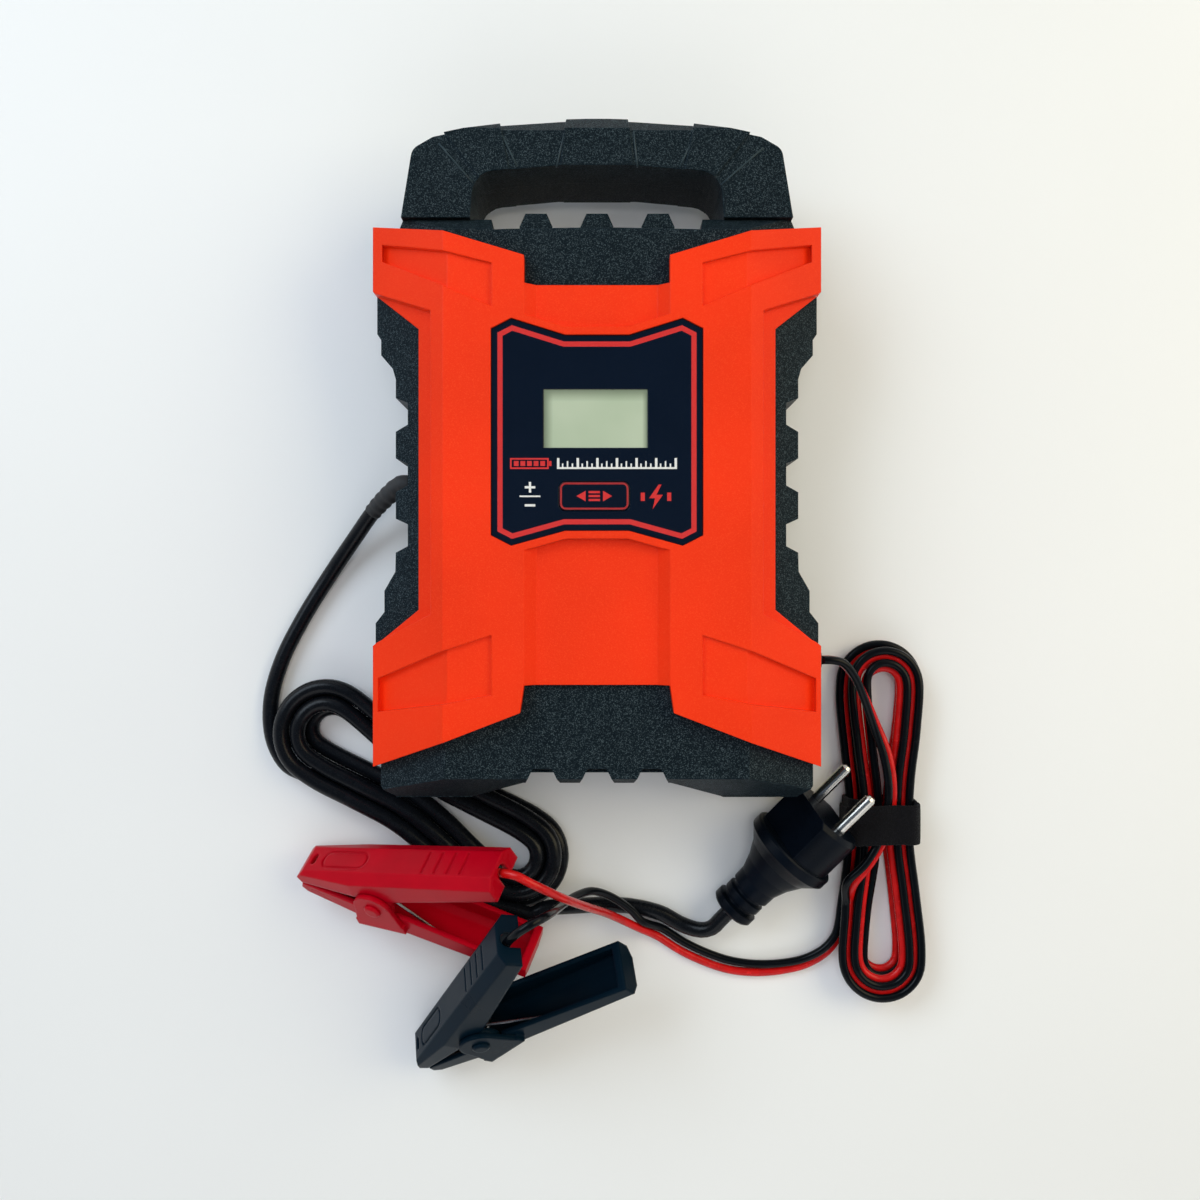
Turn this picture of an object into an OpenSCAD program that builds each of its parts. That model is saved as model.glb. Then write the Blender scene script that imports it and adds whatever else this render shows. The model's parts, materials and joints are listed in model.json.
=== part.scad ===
// Portable car battery charger lying on its back: a red cover with raised wings on a black
// housing, a carrying handle, side grips, a mains plug on a coiled cord and two spring clamps
// on a bundled twin lead. Millimetres, +Z up, +Y towards the handle, origin under the middle
// of the case.

/* [Case] */
// Width of the red cover over its wings
cover_w = 172; // [168:1:180]
// Length of the red cover along its outer corners
cover_l = 207; // [204:1:216]
// Height of the cover face above the table
case_t = 68; // [66:0.5:74]
// Height of the line where the cover meets the rear housing
part_z = 35; // [33:0.5:37]
// Height of the wings at their outer edge
wing_edge_z = 50; // [48:0.5:52]
// Half width of the flat part of the cover face
crease_x = 57; // [55:0.5:59]
// Wall thickness of the housing and cover
wall = 2.5; // [2:0.1:3]
// How far the black end cap stands out past the lower corners of the cover
cap_reach = 14; // [12:0.5:16]
// How far the black parts lie below the cover face
cap_drop = 6; // [5:0.25:7]
// Height of the plinth that the rear housing stands on
plinth_h = 12; // [11:0.5:13]
// Height of the rubber feet below the plinth
foot_h = 2; // [1.5:0.25:2.5]
// Radius of the rubber feet
foot_r = 7; // [5:0.5:9]

/* [Face] */
// Half width of the channel down the face, at its top edge
valley_x = 27; // [26:0.5:29]
// Depth of the channel down the face
valley_depth = 4; // [3:0.25:4.5]
// Depth of the step beside the grips
ledge_drop = 5; // [4:0.25:5]
// Depth of the wedge pockets in the wings at their inner end
pocket_depth = 1.4; // [1:0.1:2]
// Extra depth of the wedge pockets at their outer end
pocket_fall = 2; // [1:0.25:2.5]
// Width of the display panel
panel_w = 78.2; // [76:0.2:82]
// Length of the display panel at its ears
panel_l = 83.9; // [82:0.2:88]
// Thickness of the display panel
panel_t = 2; // [1.6:0.1:2.2]
// Width of the red frame round the display panel
panel_frame = 3; // [2:0.25:3.5]
// Width of the display window
lcd_w = 38.5; // [36:0.5:42]
// Length of the display window
lcd_l = 21.7; // [20:0.1:24]
// Width of the mode button
button_w = 26.1; // [24:0.1:28]
// Length of the mode button
button_l = 10.8; // [9:0.1:12]
// Travel of the mode button
button_travel = 0.8; // [0.4:0.1:1]

/* [Grips] */
// Length of each side grip
grip_l = 135.9; // [132:0.1:138]
// Half width of the housing behind the grips
grip_in_x = 67.5; // [66.5:0.25:68.5]
// Depth of the finger notches
notch_depth = 5.1; // [4:0.1:6]
// Distance between the finger notches
notch_pitch = 23.2; // [22:0.1:24]

/* [Handle] */
// Distance from the upper corners of the cover to the top of the handle
handle_reach = 41.2; // [39:0.2:45]
// Width of the handle where it meets the case
handle_w = 148.6; // [146:0.2:150]
// Width of the finger hole where it meets the case
hole_w = 96.4; // [92:0.2:98]
// Thickness of the grip bar
bar_t = 19.2; // [17:0.2:21]
// Height of the lower face of the handle
handle_z0 = 13; // [12:0.5:15]
// Height of the upper face of the handle
handle_z1 = 56; // [52:0.5:58]
// Height of the raised grip facets
facet_h = 0.7; // [0.4:0.1:1]

/* [Cords] */
// Diameter of the mains cord
mains_d = 6.5; // [5.5:0.1:6.5]
// Diameter of each output lead
lead_d = 3.4; // [3:0.1:3.4]
// Diameter of each plug pin
pin_d = 4.8; // [4:0.1:4.8]
// Length of each plug pin
pin_l = 19; // [18:0.5:20]
// Distance between the plug pins
pin_pitch = 19; // [18:0.5:20]
// Radius of the plug flange
flange_r = 19; // [18:0.25:20]

/* [Clamps] */
// Distance from the pivot to the nose of a clamp
nose_l = 36; // [34:0.5:38]
// Distance from the pivot to the tail of a clamp
tail_l = 58; // [56:0.5:60]
// Width of a clamp lever
lever_w = 20; // [18:0.5:21]
// Wall thickness of a clamp lever
lever_wall = 2; // [1.6:0.1:2.2]
// Angle between a lever's back and the closed jaw line
lever_angle = 16; // [15:0.25:17]
// Radius of the ears that the levers turn on
ear_r = 8; // [7:0.25:8.5]
// Radius of the pivot rivet
rivet_r = 2.2; // [1.8:0.1:2.4]
// Number of teeth on each copper contact
teeth = 7; // [5:1:8]

/* [Hidden] */
$fn = 48;

fit = 0.3;        // gap round a piece that is dropped into its opening
running = 0.05;   // gap round a shaft that turns
past = 1;         // how far a cutter reaches past the face that it opens

cover_color = [0.86, 0.12, 0.06];
black_color = [0.07, 0.07, 0.08];
copper_color = [0.75, 0.45, 0.28];
steel_color = [0.75, 0.75, 0.78];
board_color = [0.10, 0.32, 0.16];

// ---- lines of the case -------------------------------------------------------------------
overall_l = handle_reach + cover_l + cap_reach;
y_top = overall_l / 2;
cover_y1 = y_top - handle_reach;
cover_y0 = cover_y1 - cover_l;
cover_x = cover_w / 2;
slope = (case_t - wing_edge_z) / (cover_x - crease_x);
valley_floor_x = valley_x - valley_depth * 1.12;
valley_y1 = cover_y1 - 25.8;
valley_y0 = cover_y0 + 32.4;
wing_in_y1 = cover_y1 - 15.6;
wing_in_y0 = cover_y0 + 22.2;
wing_crease_y1 = cover_y1 - 6.6;
grip_y1 = (cover_y1 + cover_y0 + grip_l) / 2 + 10.8;
grip_y0 = grip_y1 - grip_l;
ledge_x = grip_in_x - 5.6;
grip_run_y1 = grip_y1 - 15.7;
grip_run_y0 = grip_y0 + 13.9;
side_x = cover_x - 1.5;
plinth_z = foot_h + plinth_h;
tuck_z = plinth_z + 8.5;
plinth_x = side_x - 12.5;

function z_face(x) = case_t - max(0, abs(x) - crease_x) * slope;
function mirror_x(p) = [for (i = [len(p) - 1:-1:0]) [-p[i].x, p[i].y]];
function both_sides(p) = concat(p, mirror_x(p));
function unit(v) = v / norm(v);

// The outline p, walked anticlockwise, moved inwards by d.
function inset(p, d) = [
    for (i = [0:len(p) - 1])
        let (
            a = p[(i + len(p) - 1) % len(p)],
            b = p[i],
            c = p[(i + 1) % len(p)],
            u = unit(b - a),
            v = unit(c - b),
            m = [-u.y, u.x],
            n = [-v.y, v.x]
        )
        b + d * (m + n) / (1 + m * n)
];

// The arc of radius r that rounds the corner at b between a and c.
function corner_arc(a, b, c, r, steps) =
    let (
        u = unit(a - b),
        v = unit(c - b),
        half = acos(u * v) / 2,
        o = b + unit(u + v) * r / sin(half),
        p = b + u * r / tan(half),
        s = atan2(p.y - o.y, p.x - o.x),
        turn = u.x * v.y - u.y * v.x > 0 ? -1 : 1,
        sweep = turn * (180 - 2 * half)
    )
    [for (i = [0:steps]) o + r * [cos(s + sweep * i / steps), sin(s + sweep * i / steps)]];

// An outline of [x, y, radius] corners, each rounded by its radius.
function rounded(p, steps = 5) = [
    for (i = [0:len(p) - 1])
        let (
            a = p[(i + len(p) - 1) % len(p)],
            b = p[i],
            c = p[(i + 1) % len(p)]
        )
        each (b[2] > 0
            ? corner_arc([a.x, a.y], [b.x, b.y], [c.x, c.y], b[2], steps)
            : [[b.x, b.y]])
];

module along_y(y0, y1) {
    translate([0, y1, 0]) rotate([90, 0, 0]) linear_extrude(y1 - y0) children();
}

module along_x(x0, x1) {
    translate([x0, 0, 0]) rotate([90, 0, 90]) linear_extrude(x1 - x0) children();
}

module up(z0, z1) {
    translate([0, 0, z0]) linear_extrude(z1 - z0) children();
}

module both_x() {
    children();
    mirror([1, 0, 0]) children();
}

module round_slab(w, l, r) {
    square([w - 2 * r, l], center = true);
    square([w, l - 2 * r], center = true);
    for (x = [-1, 1], y = [-1, 1]) translate([x * (w / 2 - r), y * (l / 2 - r)]) circle(r);
}

// Everything under the folded face of the case, lowered by drop.
module under_face(drop, z0 = 0) {
    along_y(-overall_l, overall_l) polygon(both_sides([
        [cover_x + 9, z0],
        [cover_x + 9, z_face(cover_x + 9) - drop],
        [crease_x, case_t - drop]
    ]));
}

// Everything above the folded face of the case, lowered by drop.
module above_face(drop) {
    along_y(-overall_l, overall_l) polygon(both_sides([
        [crease_x, case_t - drop],
        [cover_x + 9, z_face(cover_x + 9) - drop],
        [cover_x + 9, case_t + 9]
    ]));
}

cover_half = [
    [valley_x, valley_y0],
    [valley_x + 1.5, wing_in_y0],
    [cover_x, cover_y0],
    [cover_x, grip_y0],
    [grip_in_x, grip_run_y0],
    [grip_in_x, grip_run_y1],
    [cover_x, grip_y1],
    [cover_x, cover_y1],
    [crease_x, wing_crease_y1],
    [valley_x, wing_in_y1],
    [valley_x, valley_y1]
];
cover_outline = both_sides(cover_half);

// The step beside the grips, on the right.
ledge_outline = [
    [cover_x + past, grip_y0],
    [cover_x + past, grip_y1],
    [ledge_x, grip_y1 - 10.6],
    [ledge_x, grip_y0 + 12.4]
];

// The wedge pockets in the right wings, upper and lower.
upper_pocket = [
    [cover_x - 4, cover_y1 - 14],
    [cover_x - 4, cover_y1 - 7.5],
    [crease_x - 2, cover_y1 - 14.5],
    [39, cover_y1 - 18.5],
    [39, cover_y1 - 34.5],
    [crease_x - 2.5, cover_y1 - 28]
];
lower_pocket = [
    [39, cover_y0 + 51],
    [39, cover_y0 + 28.8],
    [crease_x + 1, cover_y0 + 25.2],
    [cover_x - 2.2, cover_y0 + 21.2],
    [cover_x - 2.2, cover_y0 + 34],
    [crease_x + 1, cover_y0 + 44.8]
];

// Space above a pocket's floor, which falls towards the outer end.
module above_pocket(drop) {
    along_y(-overall_l, overall_l) polygon([
        [0, case_t - pocket_depth - drop],
        [crease_x - 1.5, case_t - pocket_depth - drop],
        [cover_x, z_face(cover_x) - pocket_depth - pocket_fall - drop],
        [cover_x, case_t + 9],
        [0, case_t + 9]
    ]);
}

module pockets(drop, grow) {
    for (outline = [upper_pocket, lower_pocket]) {
        intersection() {
            up(part_z, case_t + 5) polygon(inset(outline, -grow));
            above_pocket(drop);
        }
    }
}

// ---- display panel -----------------------------------------------------------------------
panel_y = cover_y1 - 80.9;
panel_x = panel_w / 2;
panel_seat_z = case_t - panel_t - 0.8;
window_at = [-0.5, panel_y + 5];
button_at = [-1, panel_y - 23.7];
panel_half = [
    [11.8, panel_y - panel_l / 2 + 5.5],
    [panel_x - 7.4, panel_y - panel_l / 2],
    [panel_x, panel_y - panel_l / 2 + 3.8],
    [panel_x, panel_y + panel_l / 2 - 3.8],
    [panel_x - 7.4, panel_y + panel_l / 2],
    [11.8, panel_y + panel_l / 2 - 6.2]
];
panel_outline = both_sides(panel_half);

// ---- screws, bosses and boards -----------------------------------------------------------
screw_r = 1.75;
screw_head_r = 3.2;
boss_r = 4.2;
screw_sites = [
    for (x = [-1, 1]) each [
        [x * (crease_x + 2), cover_y1 - 16],
        [x * (crease_x - 1), (cover_y1 + cover_y0) / 2 + 5],
        [x * (crease_x - 2), cover_y0 + 22]
    ]
];
foot_sites = [for (x = [-1, 1]) each [[x * 44, cover_y1 - 20], [x * 44, cover_y0 + 24]]];
foot_seat = 2;
head_z = foot_h + 4.5;
screw_top_z = part_z + 12;
board_t = 1.6;
board_z = foot_h + wall + 4.5;
board_top = board_z + board_t;
main_board_w = 96;
main_board_y0 = cover_y0 + 20;
main_board_y1 = cover_y1 - 12;
standoff_sites = [
    for (x = [-1, 1], y = [main_board_y0 + 6, main_board_y1 - 6]) [x * (main_board_w / 2 - 5), y]
];
control_z = case_t - 15.6;
control_w = 76;
control_l = 76;
control_sites = [
    for (x = [-1, 1], y = [-1, 1]) [x * (control_w / 2 - 4), panel_y + y * (control_l / 2 - 4)]
];
vent_w = 3;
vent_l = 34;
vent_pitch = 7;

// ---- end caps ----------------------------------------------------------------------------
cap_x = cover_x - 2.3;
cap_front_y = cover_y0 - 3;
cap_arch_y = cover_y0 - 5.2;
cap_foot_y = -y_top;
top_edge_y = cover_y1 - 3.2;
shoulder_y = cover_y1 + 2;
hole_x = hole_w / 2;
handle_x = handle_w / 2;
tooth_sites = [-23, 0, 23];
notch_sites = [-20.5, 0, 20.5];

bottom_outline = both_sides([
    [28, cap_arch_y],
    [50, cap_foot_y],
    [cap_x - 4.5, cap_foot_y],
    [cap_x, cap_foot_y + 6],
    [cap_x, cover_y0 + 40]
]);

top_outline = both_sides([
    [handle_x + 1.5, cover_y1 - 30],
    [handle_x + 1.5, cover_y1 - 1],
    [handle_x, shoulder_y],
    [hole_x - 8, shoulder_y],
    [hole_x - 9.2, top_edge_y - 1.2],
    [1, top_edge_y]
]);

module end_notches() {
    for (x = notch_sites) {
        up(0, case_t + past) polygon([
            [x - 3.6, cap_arch_y + 6],
            [x - 7, cap_arch_y - past],
            [x + 7, cap_arch_y - past],
            [x + 3.6, cap_arch_y + 6]
        ]);
    }
}

// The sloping end of the bottom cap, drawn in by d.
module bottom_cap_shape(d) {
    intersection() {
        up(part_z - (d > 0 ? past : 0), case_t) polygon(inset(bottom_outline, d));
        along_x(-cover_x, cover_x) polygon([
            [cover_y0 + 60, part_z - past],
            [cover_y0 + 60, case_t - cap_drop - d],
            [cap_front_y + d, case_t - cap_drop - d],
            [cap_foot_y + d * 1.1, part_z - past]
        ]);
        under_face(cap_drop + d * 1.15, part_z - past);
    }
}

module bottom_cap() {
    color(black_color) difference() {
        bottom_cap_shape(0);
        difference() {
            bottom_cap_shape(wall);
            for (x = notch_sites) {
                up(0, case_t) polygon([
                    [x - 6.4, cap_arch_y + 6 + wall],
                    [x - 9.8, cap_arch_y - past],
                    [x + 9.8, cap_arch_y - past],
                    [x + 6.4, cap_arch_y + 6 + wall]
                ]);
            }
        }
        up(part_z - past, case_t + past) polygon(cover_outline);
        end_notches();
    }
}

module top_cap_shape(d) {
    intersection() {
        up(part_z - (d > 0 ? past : 0), case_t) polygon(inset(top_outline, d));
        along_x(-cover_x, cover_x) polygon([
            [cover_y1 - 60, part_z - past],
            [shoulder_y + past, part_z - past],
            [shoulder_y + past, handle_z1 - 3 - d],
            [shoulder_y, handle_z1 - 3 - d],
            [top_edge_y - 1 - d, case_t - cap_drop - d],
            [cover_y1 - 60, case_t - cap_drop - d]
        ]);
        under_face(cap_drop + d * 1.15, part_z - past);
    }
}

module top_cap() {
    color(black_color) {
        difference() {
            top_cap_shape(0);
            top_cap_shape(wall);
            up(part_z - past, case_t + past) polygon(cover_outline);
        }
        for (x = tooth_sites) {
            up(part_z, case_t - cap_drop - 4) polygon([
                [x - 6.2, top_edge_y - 1.2 - wall / 2],
                [x + 6.2, top_edge_y - 1.2 - wall / 2],
                [x + 6.2, top_edge_y + 1],
                [x + 4, shoulder_y + 0.7],
                [x - 4, shoulder_y + 0.7],
                [x - 6.2, top_edge_y + 1]
            ]);
        }
    }
}

// ---- front cover -------------------------------------------------------------------------
module valley(depth) {
    along_y(-overall_l, overall_l) polygon([
        [-valley_x, case_t + past],
        [-valley_x, case_t],
        [-valley_floor_x, case_t - depth],
        [valley_floor_x, case_t - depth],
        [valley_x, case_t],
        [valley_x, case_t + past]
    ]);
}

module cover_cavity() {
    difference() {
        intersection() {
            up(part_z - past, case_t) polygon(inset(cover_outline, wall));
            under_face(wall, part_z - past);
        }
        along_y(-overall_l, overall_l) polygon([
            [-valley_x - wall, case_t],
            [-valley_floor_x - wall, case_t - valley_depth - wall],
            [valley_floor_x + wall, case_t - valley_depth - wall],
            [valley_x + wall, case_t]
        ]);
        both_x() {
            intersection() {
                up(part_z, case_t) polygon(inset(ledge_outline, -wall));
                above_face(ledge_drop + wall);
            }
            pockets(wall, wall);
        }
        up(panel_seat_z - wall, case_t) polygon(inset(panel_outline, -wall));
        for (p = screw_sites) translate([p.x, p.y, 0]) cylinder(h = case_t, r = boss_r);
        for (p = control_sites) translate([p.x, p.y, control_z + board_t]) cylinder(h = 20, r = 3);
    }
}

module front_cover() {
    color(cover_color) difference() {
        union() {
            difference() {
                intersection() {
                    up(part_z, case_t + past) polygon(cover_outline);
                    under_face(0);
                }
                valley(valley_depth);
                both_x() {
                    intersection() {
                        up(part_z, case_t + past) polygon(ledge_outline);
                        above_face(ledge_drop);
                    }
                    pockets(0, 0);
                }
            }
            up(case_t - valley_depth - 1, case_t) polygon(inset(panel_outline, -panel_frame));
        }
        cover_cavity();
        up(panel_seat_z, case_t + past) polygon(inset(panel_outline, -fit / 2));
        translate([window_at.x, window_at.y, 0])
            up(part_z, case_t) square([lcd_w + 3, lcd_l + 3], center = true);
        translate([button_at.x, button_at.y, 0])
            up(part_z, case_t) round_slab(button_w + fit, button_l + fit, 2.6);
        for (p = screw_sites)
            translate([p.x, p.y, part_z - past]) cylinder(h = screw_top_z - part_z + past + 1, r = screw_r);
    }
}

// ---- display panel -----------------------------------------------------------------------
module display_panel() {
    color([0.02, 0.02, 0.03]) difference() {
        up(panel_seat_z, panel_seat_z + panel_t) polygon(panel_outline);
        translate([window_at.x, window_at.y, 0])
            up(part_z, case_t + past) square([lcd_w, lcd_l], center = true);
        translate([button_at.x, button_at.y, 0])
            up(part_z, case_t + past) round_slab(button_w + fit, button_l + fit, 2.6);
    }
}

module lcd_window() {
    color([0.62, 0.65, 0.58])
        translate([window_at.x, window_at.y, panel_seat_z + panel_t - 1.5])
            up(0, 1.2) square([lcd_w - 0.1, lcd_l - 0.1], center = true);
}

module lcd_module() {
    color([0.45, 0.47, 0.43]) translate([window_at.x, window_at.y, 0]) {
        up(control_z + board_t, panel_seat_z + panel_t - 1.6)
            square([lcd_w - 1, lcd_l - 1], center = true);
        up(control_z + board_t, panel_seat_z - wall - 2) square([lcd_w + 9, lcd_l + 9], center = true);
    }
}

button_flange_z = case_t - valley_depth - wall - fit;
module mode_button() {
    color([0.03, 0.03, 0.04]) translate([button_at.x, button_at.y, 0]) {
        up(button_flange_z - 1.4, panel_seat_z + panel_t + 0.3)
            round_slab(button_w - fit, button_l - fit, 2.4);
        up(button_flange_z - 1.4, button_flange_z) round_slab(button_w + 2.4, button_l + 2.4, 3);
        translate([0, 0, switch_top + button_travel + 0.1])
            cylinder(h = button_flange_z - 1 - switch_top - button_travel, r = 2);
    }
}

switch_top = control_z + board_t + 4.2;
module mode_switch() {
    color([0.15, 0.15, 0.16]) translate([button_at.x, button_at.y, control_z + board_t]) {
        up(0, 3) square([6.2, 6.2], center = true);
        cylinder(h = 4.2, r = 1.7);
    }
}

module control_board() {
    color(board_color) translate([0, panel_y, 0])
        up(control_z, control_z + board_t) square([control_w, control_l], center = true);
}

// ---- side grips --------------------------------------------------------------------------
mid_notch_y = (grip_y0 + grip_y1) / 2 - 2.4;
tooth_x = cover_x - 8.7;
notch_x = tooth_x - notch_depth;
gland_y = mid_notch_y - 1.3;
gland_z = 20;

function notch(y) = [
    [tooth_x, y - notch_pitch * 0.28],
    [notch_x, y - notch_pitch * 0.18],
    [notch_x, y + notch_pitch * 0.18],
    [tooth_x, y + notch_pitch * 0.28]
];

grip_outline = concat(
    [
        [grip_in_x, grip_run_y1],
        [grip_in_x, grip_run_y0],
        [cover_x, grip_y0],
        [cover_x, grip_y0 + 8.6],
        [cover_x - 3.8, grip_y0 + 13],
        [cover_x - 3.8, grip_y0 + 21.2],
        [cover_x - 8.5, grip_y0 + 28.5]
    ],
    notch(mid_notch_y - notch_pitch),
    notch(mid_notch_y),
    notch(mid_notch_y + notch_pitch),
    [
        [tooth_x, grip_y1 - 33.5],
        [cover_x - 7.4, grip_y1 - 29.3],
        [cover_x - 2.4, grip_y1 - 23.5],
        [cover_x - 2.4, grip_y1 - 17.6],
        [cover_x - 0.7, grip_y1 - 15.1],
        [cover_x - 0.7, grip_y1 - 0.6]
    ]
);

module grip() {
    intersection() {
        up(plinth_z - 4, case_t) polygon(grip_outline);
        along_y(grip_y0 - past, grip_y1 + past) polygon([
            [grip_in_x - past, plinth_z - 4],
            [grip_in_x + 3, plinth_z - 4],
            [cover_x + past, tuck_z + 1.5],
            [cover_x + past, z_face(cover_x + past) - cap_drop],
            [grip_in_x - past, z_face(grip_in_x - past) - cap_drop]
        ]);
    }
}

module left_grip() {
    color(black_color) difference() {
        mirror([1, 0, 0]) grip();
        translate([-cover_x - past, gland_y, gland_z]) rotate([0, 90, 0])
            cylinder(h = cover_x, r = gland_neck_r);
        translate([-cover_x - past, gland_y, gland_z]) rotate([0, 90, 0])
            cylinder(h = cover_x + past - notch_x, r = 8);
    }
}

module right_grip() {
    color(black_color) grip();
}

// ---- rear housing ------------------------------------------------------------------------
rear_outline = both_sides([
    [28, cap_arch_y],
    [50, cap_foot_y],
    [cap_x - 4.5, cap_foot_y],
    [cap_x, cap_foot_y + 6],
    [side_x, cover_y0 + 2],
    [side_x, grip_y0 + 1.5 * (grip_run_y0 - grip_y0) / (cover_x - grip_in_x)],
    [grip_in_x, grip_run_y0],
    [grip_in_x, grip_run_y1],
    [side_x, grip_y1 - 1.5 * (grip_y1 - grip_run_y1) / (cover_x - grip_in_x)],
    [side_x, cover_y1 - 6],
    [handle_x + 1.5, cover_y1 - 1],
    [handle_x, shoulder_y],
    [hole_x - 8, shoulder_y],
    [hole_x - 9.2, top_edge_y - 1.2],
    [1, top_edge_y]
]);

plinth_y1 = top_edge_y - 4;
plinth_y0 = cap_arch_y - 2;
plinth_outline = both_sides([
    [plinth_x - 14, plinth_y0],
    [plinth_x, plinth_y0 + 14],
    [plinth_x, grip_run_y0 - 8],
    [grip_in_x, grip_run_y0],
    [grip_in_x, grip_run_y1],
    [plinth_x, grip_run_y1 + 6],
    [plinth_x, plinth_y1 - 6],
    [plinth_x - 6, plinth_y1]
]);

// The housing's body and plinth, drawn in by d.
module rear_shape(d) {
    intersection() {
        up(foot_h + d, part_z + (d > 0 ? past : 0)) polygon(inset(rear_outline, d));
        along_y(-overall_l, overall_l) polygon(both_sides([
            [plinth_x - d, plinth_z + d * 0.6],
            [side_x - d, tuck_z + d * 0.6],
            [side_x - d, part_z + 2]
        ]));
        along_x(-cover_x, cover_x) polygon([
            [plinth_y0 + d, plinth_z + d * 0.6],
            [plinth_y1 - d, plinth_z + d * 0.6],
            [shoulder_y - d, tuck_z + d * 0.6],
            [shoulder_y - d, part_z + 2],
            [cap_foot_y + d, part_z + 2],
            [cap_foot_y + d, tuck_z + d * 0.6]
        ]);
    }
    up(foot_h + d, plinth_z + d * 0.6 + (d > 0 ? 0.01 : 0)) polygon(inset(plinth_outline, d));
}

module rear_housing() {
    color(black_color) difference() {
        union() {
            difference() {
                rear_shape(0);
                difference() {
                    rear_shape(wall);
                    for (x = notch_sites) {
                        up(0, part_z + past) polygon([
                            [x - 6.4, cap_arch_y + 6 + wall],
                            [x - 9.8, cap_arch_y - past],
                            [x + 9.8, cap_arch_y - past],
                            [x + 6.4, cap_arch_y + 6 + wall]
                        ]);
                    }
                    for (p = screw_sites) translate([p.x, p.y, 0]) cylinder(h = part_z, r = boss_r + 1.5);
                }
            }
            for (p = standoff_sites)
                translate([p.x, p.y, foot_h + wall / 2]) cylinder(h = board_z - foot_h - wall / 2, r = 3);
        }
        end_notches();
        for (p = screw_sites) translate([p.x, p.y, 0]) {
            cylinder(h = part_z + past, r = screw_r);
            cylinder(h = head_z, r = screw_head_r + 0.5);
        }
        for (p = foot_sites) translate([p.x, p.y, 0]) cylinder(h = foot_h + foot_seat, r = foot_r);
        for (side = [-1, 1], i = [0:5])
            translate([side * (12 + i * vent_pitch * 0.8), panel_y - 20, 0])
                up(0, foot_h + wall + past) square([vent_w, vent_l], center = true);
        translate([-grip_in_x - past, gland_y, gland_z]) rotate([0, 90, 0])
            cylinder(h = wall + 2 * past, r = gland_neck_r);
        translate([side_x - wall - past, output_y, output_z]) rotate([0, 90, 0])
            cylinder(h = wall + 2 * past, r = output_neck_r);
    }
}

module rubber_feet() {
    color([0.05, 0.05, 0.05]) for (p = foot_sites)
        translate([p.x, p.y, 0]) rotate_extrude() polygon([
            [0, 0], [foot_r - 1, 0], [foot_r, 1], [foot_r, foot_h + foot_seat], [0, foot_h + foot_seat]
        ]);
}

module case_screws() {
    color(steel_color) for (p = screw_sites) translate([p.x, p.y, head_z]) {
        cylinder(h = screw_top_z - head_z, r = screw_r);
        difference() {
            translate([0, 0, -2]) cylinder(h = 2, r = screw_head_r);
            for (a = [0, 90]) rotate([0, 0, a]) translate([0, 0, -2]) cube([4, 0.9, 2.2], center = true);
        }
    }
}

// ---- handle ------------------------------------------------------------------------------
bar_y = y_top - 0.3;
handle_outer = rounded(both_sides_r([
    [handle_x, shoulder_y, 0],
    [handle_x - 4.2, bar_y - 13, 5],
    [handle_x - 12, bar_y - 8.5, 4],
    [37.2, bar_y - 3.2, 0],
    [14.1, bar_y - 0.5, 0],
    [4, bar_y, 0]
]));
handle_hole = rounded(both_sides_r([
    [hole_x, shoulder_y - past, 0],
    [hole_x - 1.2, bar_y - bar_t - 2.8, 9],
    [16, bar_y - bar_t, 0]
]));
facet_bounds = [
    [[11.5, y_top + 3], [16, cover_y1]],
    [[38, y_top + 3], [29.5, cover_y1]],
    [[66, y_top + 3], [32, cover_y1 + 1]]
];

function both_sides_r(p) =
    concat(p, [for (i = [len(p) - 1:-1:0]) [-p[i].x, p[i].y, p[i][2]]]);

// The handle's outline between its two faces, with the long edges taken off.
module handle_block(z0, z1, grow = 0) {
    intersection() {
        up(z0, z1) difference() {
            polygon(inset(handle_outer, -grow));
            polygon(handle_hole);
        }
        along_x(-cover_x, cover_x) polygon([
            [shoulder_y, handle_z0 - 2],
            [bar_y - 6 + grow, handle_z0 - grow],
            [y_top + 2 * grow, handle_z0 + 7],
            [y_top + 2 * grow, handle_z1 - 7],
            [bar_y - 6 + grow, handle_z1 + grow],
            [shoulder_y, handle_z1 + grow]
        ]);
    }
}

// The space between a handle's facet lines inner and outer, on both sides.
module facet_zone(inner, outer) {
    both_x() up(0, case_t) polygon([
        facet_bounds[inner][1], facet_bounds[outer][1], facet_bounds[outer][0], facet_bounds[inner][0]
    ]);
}

module handle_half(z0, z1) {
    difference() {
        union() {
            handle_block(z0, z1);
            intersection() {
                handle_block(z0 - (z0 < part_z ? facet_h : 0), z1 + (z0 < part_z ? 0 : facet_h), facet_h);
                union() {
                    facet_zone(1, 2);
                    up(0, case_t) polygon(both_sides([facet_bounds[0][1], facet_bounds[0][0]]));
                }
            }
        }
        up(z0 < part_z ? z0 + wall : z0 - past, z0 < part_z ? z1 + past : z1 - wall) difference() {
            intersection() {
                polygon(inset(handle_outer, wall));
                translate([-cover_x, shoulder_y + wall]) square([cover_w, bar_y - shoulder_y - wall - 6]);
            }
            polygon(inset(handle_hole, -wall));
        }
    }
}

module handle_front() {
    color(black_color) handle_half(part_z, handle_z1);
}

module handle_rear() {
    color(black_color) handle_half(handle_z0, part_z);
}

// ---- inside ------------------------------------------------------------------------------
module main_board() {
    color(board_color) up(board_z, board_top) translate([-main_board_w / 2, main_board_y0])
        square([main_board_w, main_board_y1 - main_board_y0]);
}

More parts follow.
